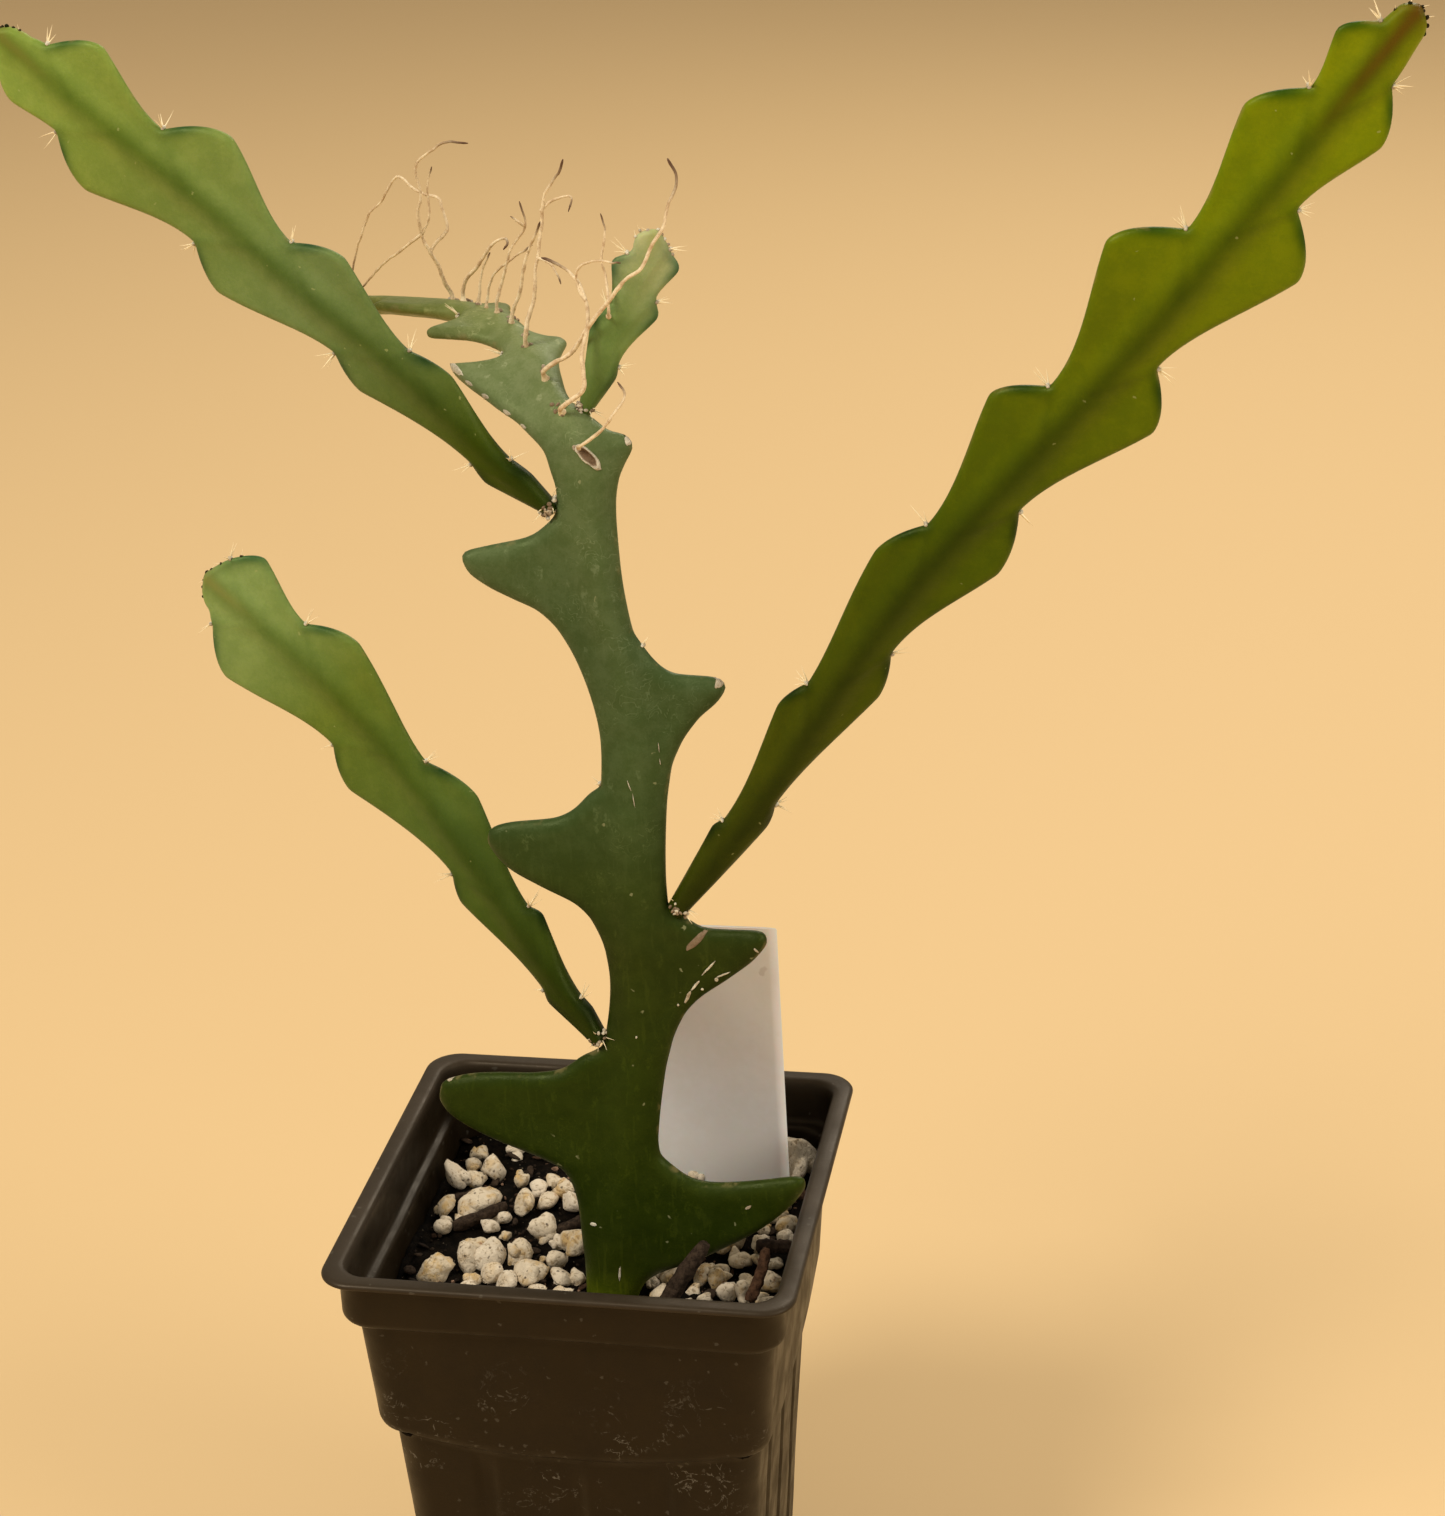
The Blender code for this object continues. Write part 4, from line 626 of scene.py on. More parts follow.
        marks = {"areole": np.clip(areole_shade_band * np.exp(-(edge / 1.5) ** 2), 0, 1), "rim": np.clip(edge / 8, 0, 1),
                 "rib": np.exp(-(ring_out / self.thickness["foot"]) ** 2),
                 "vein": self.vein(ring_s, ring_out), "age": np.clip(ring_s / self.end, 0, 1)}
        return sleeves(rings[None], {name: v[None] for name, v in marks.items()})

    def on_front(self, s, out, above=0.0):
        """Places on the finished front skin, lifted above it."""
        lift, _ = self.lifts(s, out, 1)
        return self.place(s, out, lift + above)

    def edge_seat(self, station, side):
        """Place of an areole on the edge, the way out of the sheet there, and the sheet's front."""
        way = WAYS[side]
        margin = float(self.margin(station, way))
        s = np.array([station])
        _, run, across, front = (v[0] for v in self.frames(s))
        place = self.place(s, np.array([way * margin]), np.zeros(1))[0]
        return place, unit(0.92 * way * across + 0.4 * run), front


def main_stem_sheet():
    """The old stem, whose lobes are long fingers and whose top bends over backwards."""
    margins = {"left": steady_curve(STEM_LEFT), "right": steady_curve(STEM_RIGHT)}
    leans = {"left": steady_curve(LEFT_LEAN), "right": steady_curve(RIGHT_LEAN)}
    skin = {"lump": 0.16, "cell": 8.0, "seed": 11, "wave": (0.0, 60, 0), "vein": 0.0, "vein_run": 8,
            "soft": 0.5}
    start = STEM_AXIS[0][2] - STEM_AXIS[1][2]
    return Sheet(STEM_AXIS, (0, -1), start, margins, leans, STEM_THICKNESS, skin, STEM_AREOLES)


def shoot_sheet(name, stem, seed):
    """A young shoot, thin and waved along both margins."""
    shoot = SHOOTS[name]
    station, side = shoot["areole"]
    reach = WAYS[side] * stem.margins[side](station)
    areole = stem.place(np.array([station]), np.array([reach]), np.zeros(1))[0]
    leaving = np.array(shoot["axis"][0][:3]) - areole
    axis = [(*(areole + leaving * shoot["seat"] / np.linalg.norm(leaving)), 0)] + shoot["axis"]
    points = np.array([row[:3] for row in axis])
    end = shoot["seat"] + float(np.linalg.norm(np.diff(points, axis=0), axis=1).sum())
    margins = {"left": lobed_margin(shoot["left"], end), "right": lobed_margin(shoot["right"], end)}
    areoles = [(row[0], side) for side in ("left", "right") for row in shoot[side] if row[0] > 0]
    plain = steady_curve([(0, 0), (1, 0)])
    skin = {"lump": 0.09, "cell": 6.0, "seed": seed, "wave": (0.5, 58, seed), "vein": 0.2, "vein_run": 10,
            "soft": 1.1 if name == "small_shoot" else 0.5}
    sheet = Sheet(axis, shoot["face"], shoot["seat"], margins, {"left": plain, "right": plain},
                  shoot["thickness"], skin, areoles)
    sheet.edge_areoles = areoles
    return sheet


def tapered(starts, ways, lengths, widths, bend, sides=5, rows=4):
    """Thin tapered tubes, all at once: radius width*(1 - 0.92t), along start + way*t*length + bend*t^2."""
    t = np.linspace(0, 1, rows)
    u = unit(np.cross(ways, (0.21, 0.34, 0.92)))
    v = np.cross(ways, u)
    turn = np.arange(sides) * 2 * np.pi / sides
    middle = (starts[:, None] + ways[:, None] * (t * lengths[:, None])[..., None]
              + bend[:, None] * (t ** 2)[:, None])
    radius = widths[:, None] * (1 - 0.92 * t)
    spoke = u[:, None] * np.cos(turn)[:, None] + v[:, None] * np.sin(turn)[:, None]
    rings = middle[:, :, None] + radius[..., None, None] * spoke[:, None]
    along = np.broadcast_to(t[:, None], rings.shape[:3])
    return sleeves(rings, {"along": along})


def lumps(centres, sizes, turns, draw, rows=8, count=12, knobs=5, rough=0.5, tones=None, facets=0):
    """Knobbly closed blobs, all at once: the radius in a direction n is
    0.8 + the sum over knobs c of 0.6*rough*a*exp(7(n.c - 1)), cut off by planes across random directions
    at 0.6 to 0.95 from the middle, then stretched by sizes and turned."""
    total = len(centres)
    polar = np.linspace(0.12, np.pi - 0.12, rows)
    round_ = np.arange(count) * 2 * np.pi / count
    n = np.stack([np.sin(polar)[:, None] * np.cos(round_), np.sin(polar)[:, None] * np.sin(round_),
                  np.broadcast_to(np.cos(polar)[:, None], (rows, count))], axis=-1)
    knob = unit(draw.normal(size=(total, knobs, 3)))
    height = draw.uniform(-0.45, 1.0, (total, knobs))
    swell = np.exp(7 * (np.einsum("rcx,tkx->trck", n, knob) - 1)) * height[:, None, None]
    radius = 0.8 + rough * swell.sum(axis=-1) * 0.6
    if facets:
        plane = unit(draw.normal(size=(total, facets, 3)))
        reach = draw.uniform(0.6, 0.95, (total, facets))[:, None, None]
        cut = reach / np.maximum(np.einsum("rcx,tkx->trck", n, plane), 0.05)
        radius = np.minimum(radius, cut.min(axis=-1))
    local = radius[..., None] * n * sizes[:, None, None]
    rings = np.einsum("txy,trcy->trcx", turns, local) + centres[:, None, None]
    tones = draw.uniform(0, 1, total) if tones is None else tones
    return sleeves(rings, {"tone": np.broadcast_to(tones[:, None, None], rings.shape[:3])})


def scar_shape(sheet, station, out, length, width, turn, tone, seed, hollow=0.0):
    """A thin corky patch on the skin: its height over the skin is SCAR_HEIGHT*(1 - r^4), or for a hollow one
    SCAR_FLOOR + hollow*exp(-((r - 0.8)/0.15)^2), at the share r of the way to its ragged edge."""
    r = np.concatenate([[1.04, 1.0], np.linspace(0.94, 0.08, 9)])[:, None]
    a = (np.arange(26) * 2 * np.pi / 26)[None, :]
    ragged = 1 + 0.16 * value_noise(np.cos(a) * 3 + 8, np.sin(a) * 3 + 8, seed)
    slim = np.abs(np.sin(a)) ** 0.25
    u, v = r * ragged * length * np.cos(a), r * ragged * width * np.sin(a) * slim
    c, s = math.cos(math.radians(turn)), math.sin(math.radians(turn))
    if hollow:
        height = SCAR_FLOOR + hollow * np.exp(-((r - 0.8) / 0.15) ** 2) + 0 * a
    else:
        height = SCAR_HEIGHT * (1 - r ** 4) + 0 * a
    height += 0.08 * value_noise(u * 3 + 20, v * 3 + 20, seed + 1)
    height = np.where(r > 1.01, -SCAR_ROOT, height)
    stations = station + u * c - v * s
    outs = np.clip(out + u * s + v * c, -sheet.margin(stations, -1), sheet.margin(stations, 1))
    rings = sheet.on_front(stations, outs, height)
    shade = tone - 0.4 * (hollow > 0) * ease((0.8 - r) / 0.2) + 0 * a
    return sleeves(rings[None], {"tone": shade[None]})


def random_turns(total, draw, steep=np.pi):
    """Turn matrices Rz(a)*Ry(b)*Rx(c), with tilts b and c up to steep."""
    a = draw.uniform(0, 2 * np.pi, total)
    b = draw.uniform(-steep, steep, total)
    c = draw.uniform(-steep, steep, total)
    one, none = np.ones(total), np.zeros(total)
    z = np.array([[np.cos(a), -np.sin(a), none], [np.sin(a), np.cos(a), none], [none, none, one]])
    y = np.array([[np.cos(b), none, np.sin(b)], [none, one, none], [-np.sin(b), none, np.cos(b)]])
    x = np.array([[one, none, none], [none, np.cos(c), -np.sin(c)], [none, np.sin(c), np.cos(c)]])
    return np.einsum("ijt,jkt,klt->til", z, y, x)


def square_ring(half, corner, height, bow, corner_steps=12, side_steps=72):
    """A ring of points round a square with round corners, lower by bow in the middle of each side."""
    straight = half - corner
    rings = []
    for quarter, (along, across) in enumerate(((1, 1), (-1, 1), (-1, -1), (1, -1))):
        angle = np.pi / 2 * (quarter + np.linspace(0, 1, corner_steps + 1))
        bend = np.stack([straight * along + corner * np.cos(angle),
                         straight * across + corner * np.sin(angle),
                         np.full_like(angle, height + bow)], axis=1)
        share = 1 - 2 * np.arange(1, side_steps) / side_steps
        turn = np.pi / 2 * quarter
        x, y = straight * share, np.full_like(share, half)
        side = np.stack([x * np.cos(turn) - y * np.sin(turn), x * np.sin(turn) + y * np.cos(turn),
                         height + bow * np.abs(share) ** 2.5], axis=1)
        rings += [bend, side]
    return np.concatenate(rings)


def softened(profile, reach):
    """A profile whose corners are short arcs, each begun and ended within reach of the corner."""
    rows = np.array(profile, float)
    soft = [rows[0]]
    for before, corner, after in zip(rows, rows[1:], rows[2:]):
        back, on = before - corner, after - corner
        p = corner + back * min(0.45, reach / np.linalg.norm(back[:2]))
        q = corner + on * min(0.45, reach / np.linalg.norm(on[:2]))
        soft += [p + (corner - p) * 2 * t * (1 - t) + (q - p) * t * t for t in (0, 0.5, 1)]
    return np.array(soft + [rows[-1]])


def pot_shape():
    """The pot's wall and floor: rings down the outside and the inside, with three flutes in each face."""
    outside = softened(POT_OUTSIDE, 0.5)
    inside = softened(POT_INSIDE, 0.5)
    wall = []
    for rows in (outside, inside):
        fine = [rows[:1]]
        for a, b in zip(rows, rows[1:]):
            count = max(1, int(abs(b[1] - a[1]) / 3.5))
            fine.append(a + (b - a) * (np.arange(1, count + 1) / count)[:, None])
        wall.append(np.concatenate(fine))
    rings = []
    for number, rows in enumerate(wall):
        for half, z, bow, corner in rows:
            ring = square_ring(half, corner, z, bow * SHOULDER_BOW)
            if number == 0:
                upright = ease((z - FLUTE_BOTTOM) / 2) * ease((FLUTE_TOP + 1.5 - z) / 1.5)
                for axis in (0, 1):
                    along = ring[:, 1 - axis]
                    flat = np.abs(ring[:, axis]) > half - 0.01
                    near = np.minimum.reduce([np.abs(along - k * FLUTE_SPACING) for k in (-1, 0, 1)])
                    groove = FLUTE_DEPTH * upright * ease((FLUTE_WIDTH / 2 + 0.4 - near) / 0.8)
                    ring[:, axis] -= np.sign(ring[:, axis]) * groove * flat
            bulge = 0.16 * value_noise(ring[:, 0] / 17 + 9, ring[:, 1] / 17 + z / 23 + 30, 5) * (z < -3)
            ring[:, :2] *= (1 + bulge / half)[:, None]
            rings.append(ring)
    return sleeves(np.array(rings)[None])


def drain_holes(pot):
    """Cuts the four drain holes through the pot's floor."""
    cutters = bpy.data.collections.new("drains")
    bpy.context.scene.collection.children.link(cutters)
    for x in (-DRAIN_OFFSET, DRAIN_OFFSET):
        for y in (-DRAIN_OFFSET, DRAIN_OFFSET):
            bm = bmesh.new()
            place = Matrix.Translation((x * MM, y * MM, 0))
            bmesh.ops.create_cone(bm, cap_ends=True, segments=32, radius1=DRAIN_RADIUS * MM,
                                  radius2=DRAIN_RADIUS * MM, depth=8 * MM, matrix=place)
            mesh = bpy.data.meshes.new("drain")
            bm.to_mesh(mesh)
            bm.free()
            cutters.objects.link(bpy.data.objects.new("drain", mesh))
    modifier = pot.modifiers.new("drains", "BOOLEAN")
    modifier.operation = "DIFFERENCE"
    modifier.operand_type = "COLLECTION"
    modifier.collection = cutters
    cut = bpy.data.meshes.new_from_object(pot.evaluated_get(bpy.context.evaluated_depsgraph_get()))
    pot.modifiers.clear()
    pot.data = cut
    for cutter in list(cutters.objects):
        bpy.data.objects.remove(cutter)
    bpy.data.collections.remove(cutters)


def soil_height(x, y):
    """The mix's surface: SOIL_LEVEL + 0.7*sin(x/7.3 + 1)*cos(y/6.1) + 0.4*sin((x + y)/4.7)."""
    return SOIL_LEVEL + 0.7 * np.sin(x / 7.3 + 1) * np.cos(y / 6.1) + 0.4 * np.sin((x + y) / 4.7)


def soil_shape():
    """The plug of mix: its wall, then rings in over a surface roughened by noise of three sizes."""
    wall = [(33.0, 5, -117.2), (37.6, 5.4, -48), (SOIL_HALF - 1.4, 5.4, -41),
            (SOIL_HALF, 5.4, SOIL_LEVEL - 3)]
    rings = [square_ring(*row, 0, 6, 44) for row in wall]
    for share in 1 - np.arange(0, 48) / 48.5:
        ring = square_ring(SOIL_HALF * share, 5.4 * share, 0, 0, 6, 44)
        x, y = ring[:, 0], ring[:, 1]
        rough = (0.7 * value_noise(x / 6, y / 6, 21) + 0.6 * value_noise(x / 2.4, y / 2.4, 22)
                 + 0.35 * value_noise(x / 1.1, y / 1.1, 23))
        ring[:, 2] = soil_height(x, y) + rough
        rings.append(ring)
    return sleeves(np.array(rings)[None])


def grain_places(draw):
    """The perlite grains: the ones laid out in the list, then scattered ones that keep clear of those, the
    wall, the stem and the label."""
    placed = list(PERLITE)
    tries = 0
    while len(placed) < len(PERLITE) + SCATTERED_GRAINS and tries < MOST_TRIES:
        tries += 1
        size = draw.uniform(1.3, 3.4)
        x, y = draw.uniform(size - 41, 41 - size, 2)
        near_stem = -3 < x < 14 and abs(y + 19) < 5 + size
        near_label = 1 < x < 39 and abs(y - LABEL_FOOT[1]) < 1.5 + size
        crowded = any(math.hypot(x - px, y - py) < 0.8 * (size + across) for px, py, across, _ in placed)
        laid_out = x < -6 and -24 < y < 34
        if not (near_stem or near_label or crowded or laid_out):
            placed.append((x, y, size, size * draw.uniform(0.7, 1.0)))
    return np.array(placed)


def grain_shape(draw):
    """White puffed grains, each of several knobs grown together."""
    grains = grain_places(draw)
    x, y, across, up = grains.T
    deep = 0.5 * (across + up) * draw.uniform(0.85, 1.1, len(grains))
    sizes = GRAIN_SWELL * np.stack([across, deep, up * 0.92], axis=1)
    centres = np.stack([x, y, soil_height(x, y) + 0.75 * up], axis=1)
    tones = draw.uniform(0, 1, len(grains))
    # painted light: the tallest grain sits in the label's shade and is given the palest tone to look lit
    tones[np.argmax(up)] = 0
    keep = draw.permutation(len(grains))[:int(0.9 * len(grains))]
    aside = unit(draw.normal(size=(len(keep), 3)) * (1, 1, 0.6)) * sizes[keep] * 0.62
    centres = np.concatenate([centres, centres[keep] + aside])
    sizes = np.concatenate([0.92 * sizes, sizes[keep] * draw.uniform(0.45, 0.7, (len(keep), 1))])
    tones = np.concatenate([tones, tones[keep]])
    return lumps(centres, sizes, random_turns(len(centres), draw, 0.6), draw, 12, 18, 14, 0.85, tones, 6)


def scatter(total, sizes, flatness, draw, rows, count, sink=0.1):
    """Small blobs strewn over the mix."""
    x, y = draw.uniform(-40.6, 40.6, (2, total))
    size = draw.uniform(*sizes, total)
    centres = np.stack([x, y, soil_height(x, y) + 0.3 + size * sink], axis=1)
    stretch = np.stack([size, size * draw.uniform(0.4, 0.9, total), size * flatness], axis=1)
    tones = draw.uniform(0, 1, total) ** 1.6
    return lumps(centres, stretch, random_turns(total, draw, 0.6), draw, rows, count, 4, 0.6, tones, 5)


def stick_shape():
    """The bark sticks: rough rods, a little bent."""
    shapes = []
    for start, end, thick, tone in BARK_STICKS:
        start, end = np.array(start), np.array(end)
        t = np.linspace(0, 1, 26)
        turn = np.arange(14) * 2 * np.pi / 14
        run = unit(end - start)
        u = unit(np.cross(run, (0.2, 0.5, 0.8)))
        v = np.cross(run, u)
        middle = start + (end - start) * t[:, None] + 0.5 * np.sin(3 * t)[:, None] * u
        edge = 1 - 0.35 * ease((t - 0.9) / 0.1) - 0.35 * ease((0.08 - t) / 0.08)
        radius = thick * (1 - 0.15 * t) * edge
        ridges = 1 + 0.2 * value_noise(turn * 3, 5 * np.ones(14), int(start[0] + 60)) \
            + 0.16 * value_noise(t[:, None] * 11, turn * 2.2, 31)
        spoke = np.cos(turn)[:, None] * u + np.sin(turn)[:, None] * v
        rings = middle[:, None] + (radius[:, None] * ridges)[..., None] * spoke
        shapes.append(sleeves(rings[None], {"tone": np.full((1, *rings.shape[:2]), tone)}))
    return gathered(shapes)


def label_shape():
    """A thin plate with a blunt point in the mix, its edge rounded and its body bowed a little."""
    half = LABEL_WIDTH / 2
    shoulder = LABEL_LENGTH - LABEL_TOP_ROUND
    z = np.concatenate([np.linspace(0, LABEL_POINT, 5), np.linspace(LABEL_POINT, shoulder, 40)[1:],
                        shoulder + LABEL_TOP_ROUND * np.sin(np.linspace(0, np.pi / 2, 6))[1:]])
    width = np.where(z < LABEL_POINT, LABEL_POINT_HALF + (half - LABEL_POINT_HALF) * z / LABEL_POINT, half)
    top = np.clip((z - shoulder) / LABEL_TOP_ROUND, 0, 1)
    width = width - LABEL_TOP_ROUND * (1 - np.sqrt(1 - top * top))
    across = np.concatenate([np.linspace(-1, 1, 17), np.linspace(1, -1, 17)])
    edge = np.concatenate([np.full(17, 1.0), np.full(17, -1.0)])
    rounding = LABEL_THICKNESS / 2 * np.sqrt(1 - np.clip(np.abs(across) * 1.02 - 0.02, 0, 1) ** 60)
    x = width[:, None] * across
    bow = LABEL_BOW * np.cos(across * 1.4) * (z[:, None] / LABEL_LENGTH) ** 2
    y = -edge * rounding + bow
    c, s = math.cos(LABEL_TURN), math.sin(LABEL_TURN)
    rings = np.stack([x * c + z[:, None] * s + LABEL_FOOT[0], y + LABEL_FOOT[1],
                      -x * s + z[:, None] * c + LABEL_FOOT[2]], axis=-1)
    return sleeves(rings[None])


def strand_shape(radius, foot, points, sheets, seed):
    """One root: a tube on a smooth curve through its points that wanders by noise, thins towards its end
    by 1 - 0.45t and spreads at its foot."""
    if foot:
        sheet = sheets[foot[0]]
        s, out = np.array([foot[1]], float), np.array([foot[2]], float)
        front = sheet.frames(s)[3][0]
        base = sheet.place(s, out, sheet.lifts(s, out, 1)[0])[0]
        points = [tuple(base - 0.5 * front), tuple(base + ROOT_FOOT * front), *points]
    points = np.array(points, float)
    stations = np.concatenate([[0], np.cumsum(np.linalg.norm(np.diff(points, axis=0), axis=1))])
    length = stations[-1]
    t = np.linspace(0, length, int(length / 0.4) + 3)
    path = natural_spline(stations, points)(t)
    fade = ease(t / 3)[:, None]
    for axis in range(3):
        path[:, axis] += fade[:, 0] * (0.28 * value_noise(t / 3.1, np.full_like(t, axis + 0.5), seed)
                                       + 0.1 * value_noise(t / 1.1, np.full_like(t, axis + 0.5), seed + 1))
    run = unit(np.gradient(path, axis=0))
    u = unit(np.cross(run, (0.13, 0.96, 0.24)))
    v = np.cross(run, u)
    share = t / length
    width = radius * (1 - 0.45 * share) * (1 + 0.16 * value_noise(t / 1.9, np.full_like(t, 3.5), seed))
    if foot:
        width = width * (1 + 0.9 * np.exp(-(t / 0.9) ** 2))
    width[-2:] *= (0.75, 0.35)
    turn = np.arange(8) * 2 * np.pi / 8
    rings = path[:, None] + width[:, None, None] * (np.cos(turn)[:, None] * u[:, None]
                                                    + np.sin(turn)[:, None] * v[:, None])
    tip = ease((share - 0.8) / 0.2) if length > 12 else ease((share - 0.6) / 0.4)
    return sleeves(rings[None], {"tip": np.broadcast_to(tip[:, None], rings.shape[:2])[None]})


def put(tree, socket, value):
    """Feeds a socket from another node, or sets it."""
    if isinstance(value, bpy.types.NodeSocket):
        tree.links.new(value, socket)
    else:
        socket.default_value = value


def add(tree, kind, inputs=None, **settings):
    """A new node with its settings and inputs, keyed by name or number."""
    node = tree.nodes.new(kind)
    for name, value in settings.items():
        setattr(node, name, value)
    for name, value in (inputs or {}).items():
        put(tree, node.inputs[name], value)
    return node


def maths(tree, operation, a, b=0.0, clamp=False):
    return add(tree, "ShaderNodeMath", {0: a, 1: b}, operation=operation, use_clamp=clamp).outputs[0]


def times(tree, a, b):
    return maths(tree, "MULTIPLY", a, b)


def one_less(tree, value):
    return maths(tree, "SUBTRACT", 1.0, value)


def blend(tree, factor, a, b, kind="MIX"):
    """Colour a turned to b by factor."""
    node = add(tree, "ShaderNodeMix", {0: factor, 6: a, 7: b}, data_type="RGBA", blend_type=kind)
    return node.outputs[2]


def spread(tree, value, low, high, to_low=0.0, to_high=1.0):
    """Value stretched from low..high to 0..1, eased."""
    node = add(tree, "ShaderNodeMapRange", {0: value, 1: low, 2: high, 3: to_low, 4: to_high},
               interpolation_type="SMOOTHSTEP")
    return node.outputs[0]


def ramp(tree, factor, stops):
    """Colours along a factor."""
    node = add(tree, "ShaderNodeValToRGB", {0: factor})
    elements = node.color_ramp.elements
    while len(elements) < len(stops):
        elements.new(0.5)
    for element, (place, colour) in zip(elements, stops):
        element.position = place
        element.color = (*colour, 1)
    return node.outputs[0]


def grain(tree, place, scale, detail=3.0, rough=0.55, warp=0.0):
    """Noise from 0 to 1 at a scale in waves a millimetre."""
    node = add(tree, "ShaderNodeTexNoise", {"Vector": place, "Scale": scale, "Detail": detail,
                                            "Roughness": rough, "Distortion": warp})
    return node.outputs[0]


def mark(tree, name):
    return add(tree, "ShaderNodeAttribute", attribute_name=name).outputs["Fac"]


def millimetres(tree):
    """The place on the object in millimetres."""
    coordinates = add(tree, "ShaderNodeTexCoord")
    return add(tree, "ShaderNodeVectorMath", {0: coordinates.outputs["Object"], 3: 1000.0},
               operation="SCALE").outputs[0]


def stretched(tree, place, scale):
    return add(tree, "ShaderNodeVectorMath", {0: place, 1: scale}, operation="MULTIPLY").outputs[0]


def height_of(tree, place):
    return add(tree, "ShaderNodeSeparateXYZ", {0: place}).outputs[2]


def thin_lines(tree, noise, low, high):
    """Lines where noise passes through its middle: 1 within low of it, 0 beyond high."""
    away = maths(tree, "ABSOLUTE", maths(tree, "SUBTRACT", noise, 0.5))
    return one_less(tree, spread(tree, away, low, high))


def new_group(name, inputs, outputs):
    """An empty node group with its sockets. Returns its tree, its inputs' and its outputs' nodes."""
    tree = bpy.data.node_groups.new(name, "ShaderNodeTree")
    for socket, kind, value in inputs:
        item = tree.interface.new_socket(socket, in_out="INPUT", socket_type=kind)
        if value is not None:
            item.default_value = value
    for socket, kind in outputs:
        tree.interface.new_socket(socket, in_out="OUTPUT", socket_type=kind)
    return tree, tree.nodes.new("NodeGroupInput"), tree.nodes.new("NodeGroupOutput")


def mottle_group():
    """Cloudy change from a colour to a second one, of two sizes."""
    tree, given, result = new_group("mottle", [("Place", "NodeSocketVector", None),
                                               ("Colour", "NodeSocketColor", None),
                                               ("Second", "NodeSocketColor", None),
                                               ("Scale", "NodeSocketFloat", 0.2),
                                               ("Amount", "NodeSocketFloat", 0.5)],
                                    [("Colour", "NodeSocketColor")])
    wide = grain(tree, given.outputs["Place"], given.outputs["Scale"], 4.0, 0.6)
    fine = grain(tree, given.outputs["Place"], times(tree, given.outputs["Scale"], 7.0), 3.0, 0.6)
    both = maths(tree, "ADD", times(tree, wide, 0.7), times(tree, fine, 0.3))
    cloud = times(tree, spread(tree, both, 0.38, 0.64), given.outputs["Amount"])
    put(tree, result.inputs["Colour"], blend(tree, cloud, given.outputs["Colour"], given.outputs["Second"]))
    return tree


def fleck_group():
    """Small irregular flecks: 1 where a cell's point is close, for a random share of the cells."""
    tree, given, result = new_group("flecks", [("Place", "NodeSocketVector", None),
                                               ("Scale", "NodeSocketFloat", 0.5),
                                               ("Size", "NodeSocketFloat", 0.3),
                                               ("Share", "NodeSocketFloat", 0.3)],
                                    [("Fleck", "NodeSocketFloat")])
    place, scale, size = (given.outputs[name] for name in ("Place", "Scale", "Size"))
    warp = add(tree, "ShaderNodeTexNoise", {"Vector": place, "Scale": times(tree, scale, 3.0)})
    warp = add(tree, "ShaderNodeVectorMath", {0: warp.outputs["Color"], 3: maths(tree, "DIVIDE", 0.5, scale)},
               operation="SCALE").outputs[0]
    place = add(tree, "ShaderNodeVectorMath", {0: place, 1: warp}, operation="ADD").outputs[0]
    cells = add(tree, "ShaderNodeTexVoronoi", {"Vector": place, "Scale": scale})
    near = spread(tree, cells.outputs["Distance"], size, times(tree, size, 0.6))
    red = add(tree, "ShaderNodeSeparateColor", {0: cells.outputs["Color"]}).outputs[0]
    chosen = maths(tree, "LESS_THAN", red, given.outputs["Share"])
    put(tree, result.inputs["Fleck"], times(tree, near, chosen))
    return tree


def use_group(tree, group, inputs):
    """A group's first output for these inputs."""
    node = add(tree, "ShaderNodeGroup", node_tree=group)
    for name, value in inputs.items():
        put(tree, node.inputs[name], value)
    return node.outputs[0]


def new_material(name, roughness=0.5, **constants):
    """A material with its shader's own values. Returns the material, its tree and its shader."""
    material = bpy.data.materials.new(name)
    material.use_nodes = True
    tree = material.node_tree
    shader = tree.nodes["Principled BSDF"]
    shader.inputs["Roughness"].default_value = roughness
    for socket, value in constants.items():
        shader.inputs[socket.replace("_", " ")].default_value = value
    return material, tree, shader


def dress(tree, shader, place, colour, grit, rough=None):
    """Feeds a shader. Grit is the bump's noise (scale, detail, roughness, warp), its height in millimetres
    and its strength. Rough is the scale and detail of the noise that varies roughness, and the range."""
    put(tree, shader.inputs["Base Color"], colour)
    if rough:
        scale, detail, low, high = rough
        varied = spread(tree, grain(tree, place, scale, detail), 0.3, 0.7, low, high)
        put(tree, shader.inputs["Roughness"], varied)
    *noise, distance, strength = grit
    node = add(tree, "ShaderNodeBump", {"Height": grain(tree, place, *noise), "Distance": distance * MM,
                                        "Strength": strength})
    put(tree, shader.inputs["Normal"], node.outputs[0])


MOTTLE = mottle_group()
FLECKS = fleck_group()


def tinted(tree, factor, colour, tint):
    """Colour times tint where factor is 1."""
    return blend(tree, factor, colour, (*tint, 1), "MULTIPLY")


def mottled(tree, place, colour, second, scale, amount):
    return use_group(tree, MOTTLE, {"Place": place, "Colour": colour, "Second": second, "Scale": scale,
                                    "Amount": amount})


def flecks(tree, place, scale, size, share):
    return use_group(tree, FLECKS, {"Place": place, "Scale": scale, "Size": size, "Share": share})


def flecked(tree, place, colour, second, scale, size, share, amount):
    """Colour with flecks of a second one."""
    return blend(tree, times(tree, flecks(tree, place, scale, size, share), amount), colour, second)


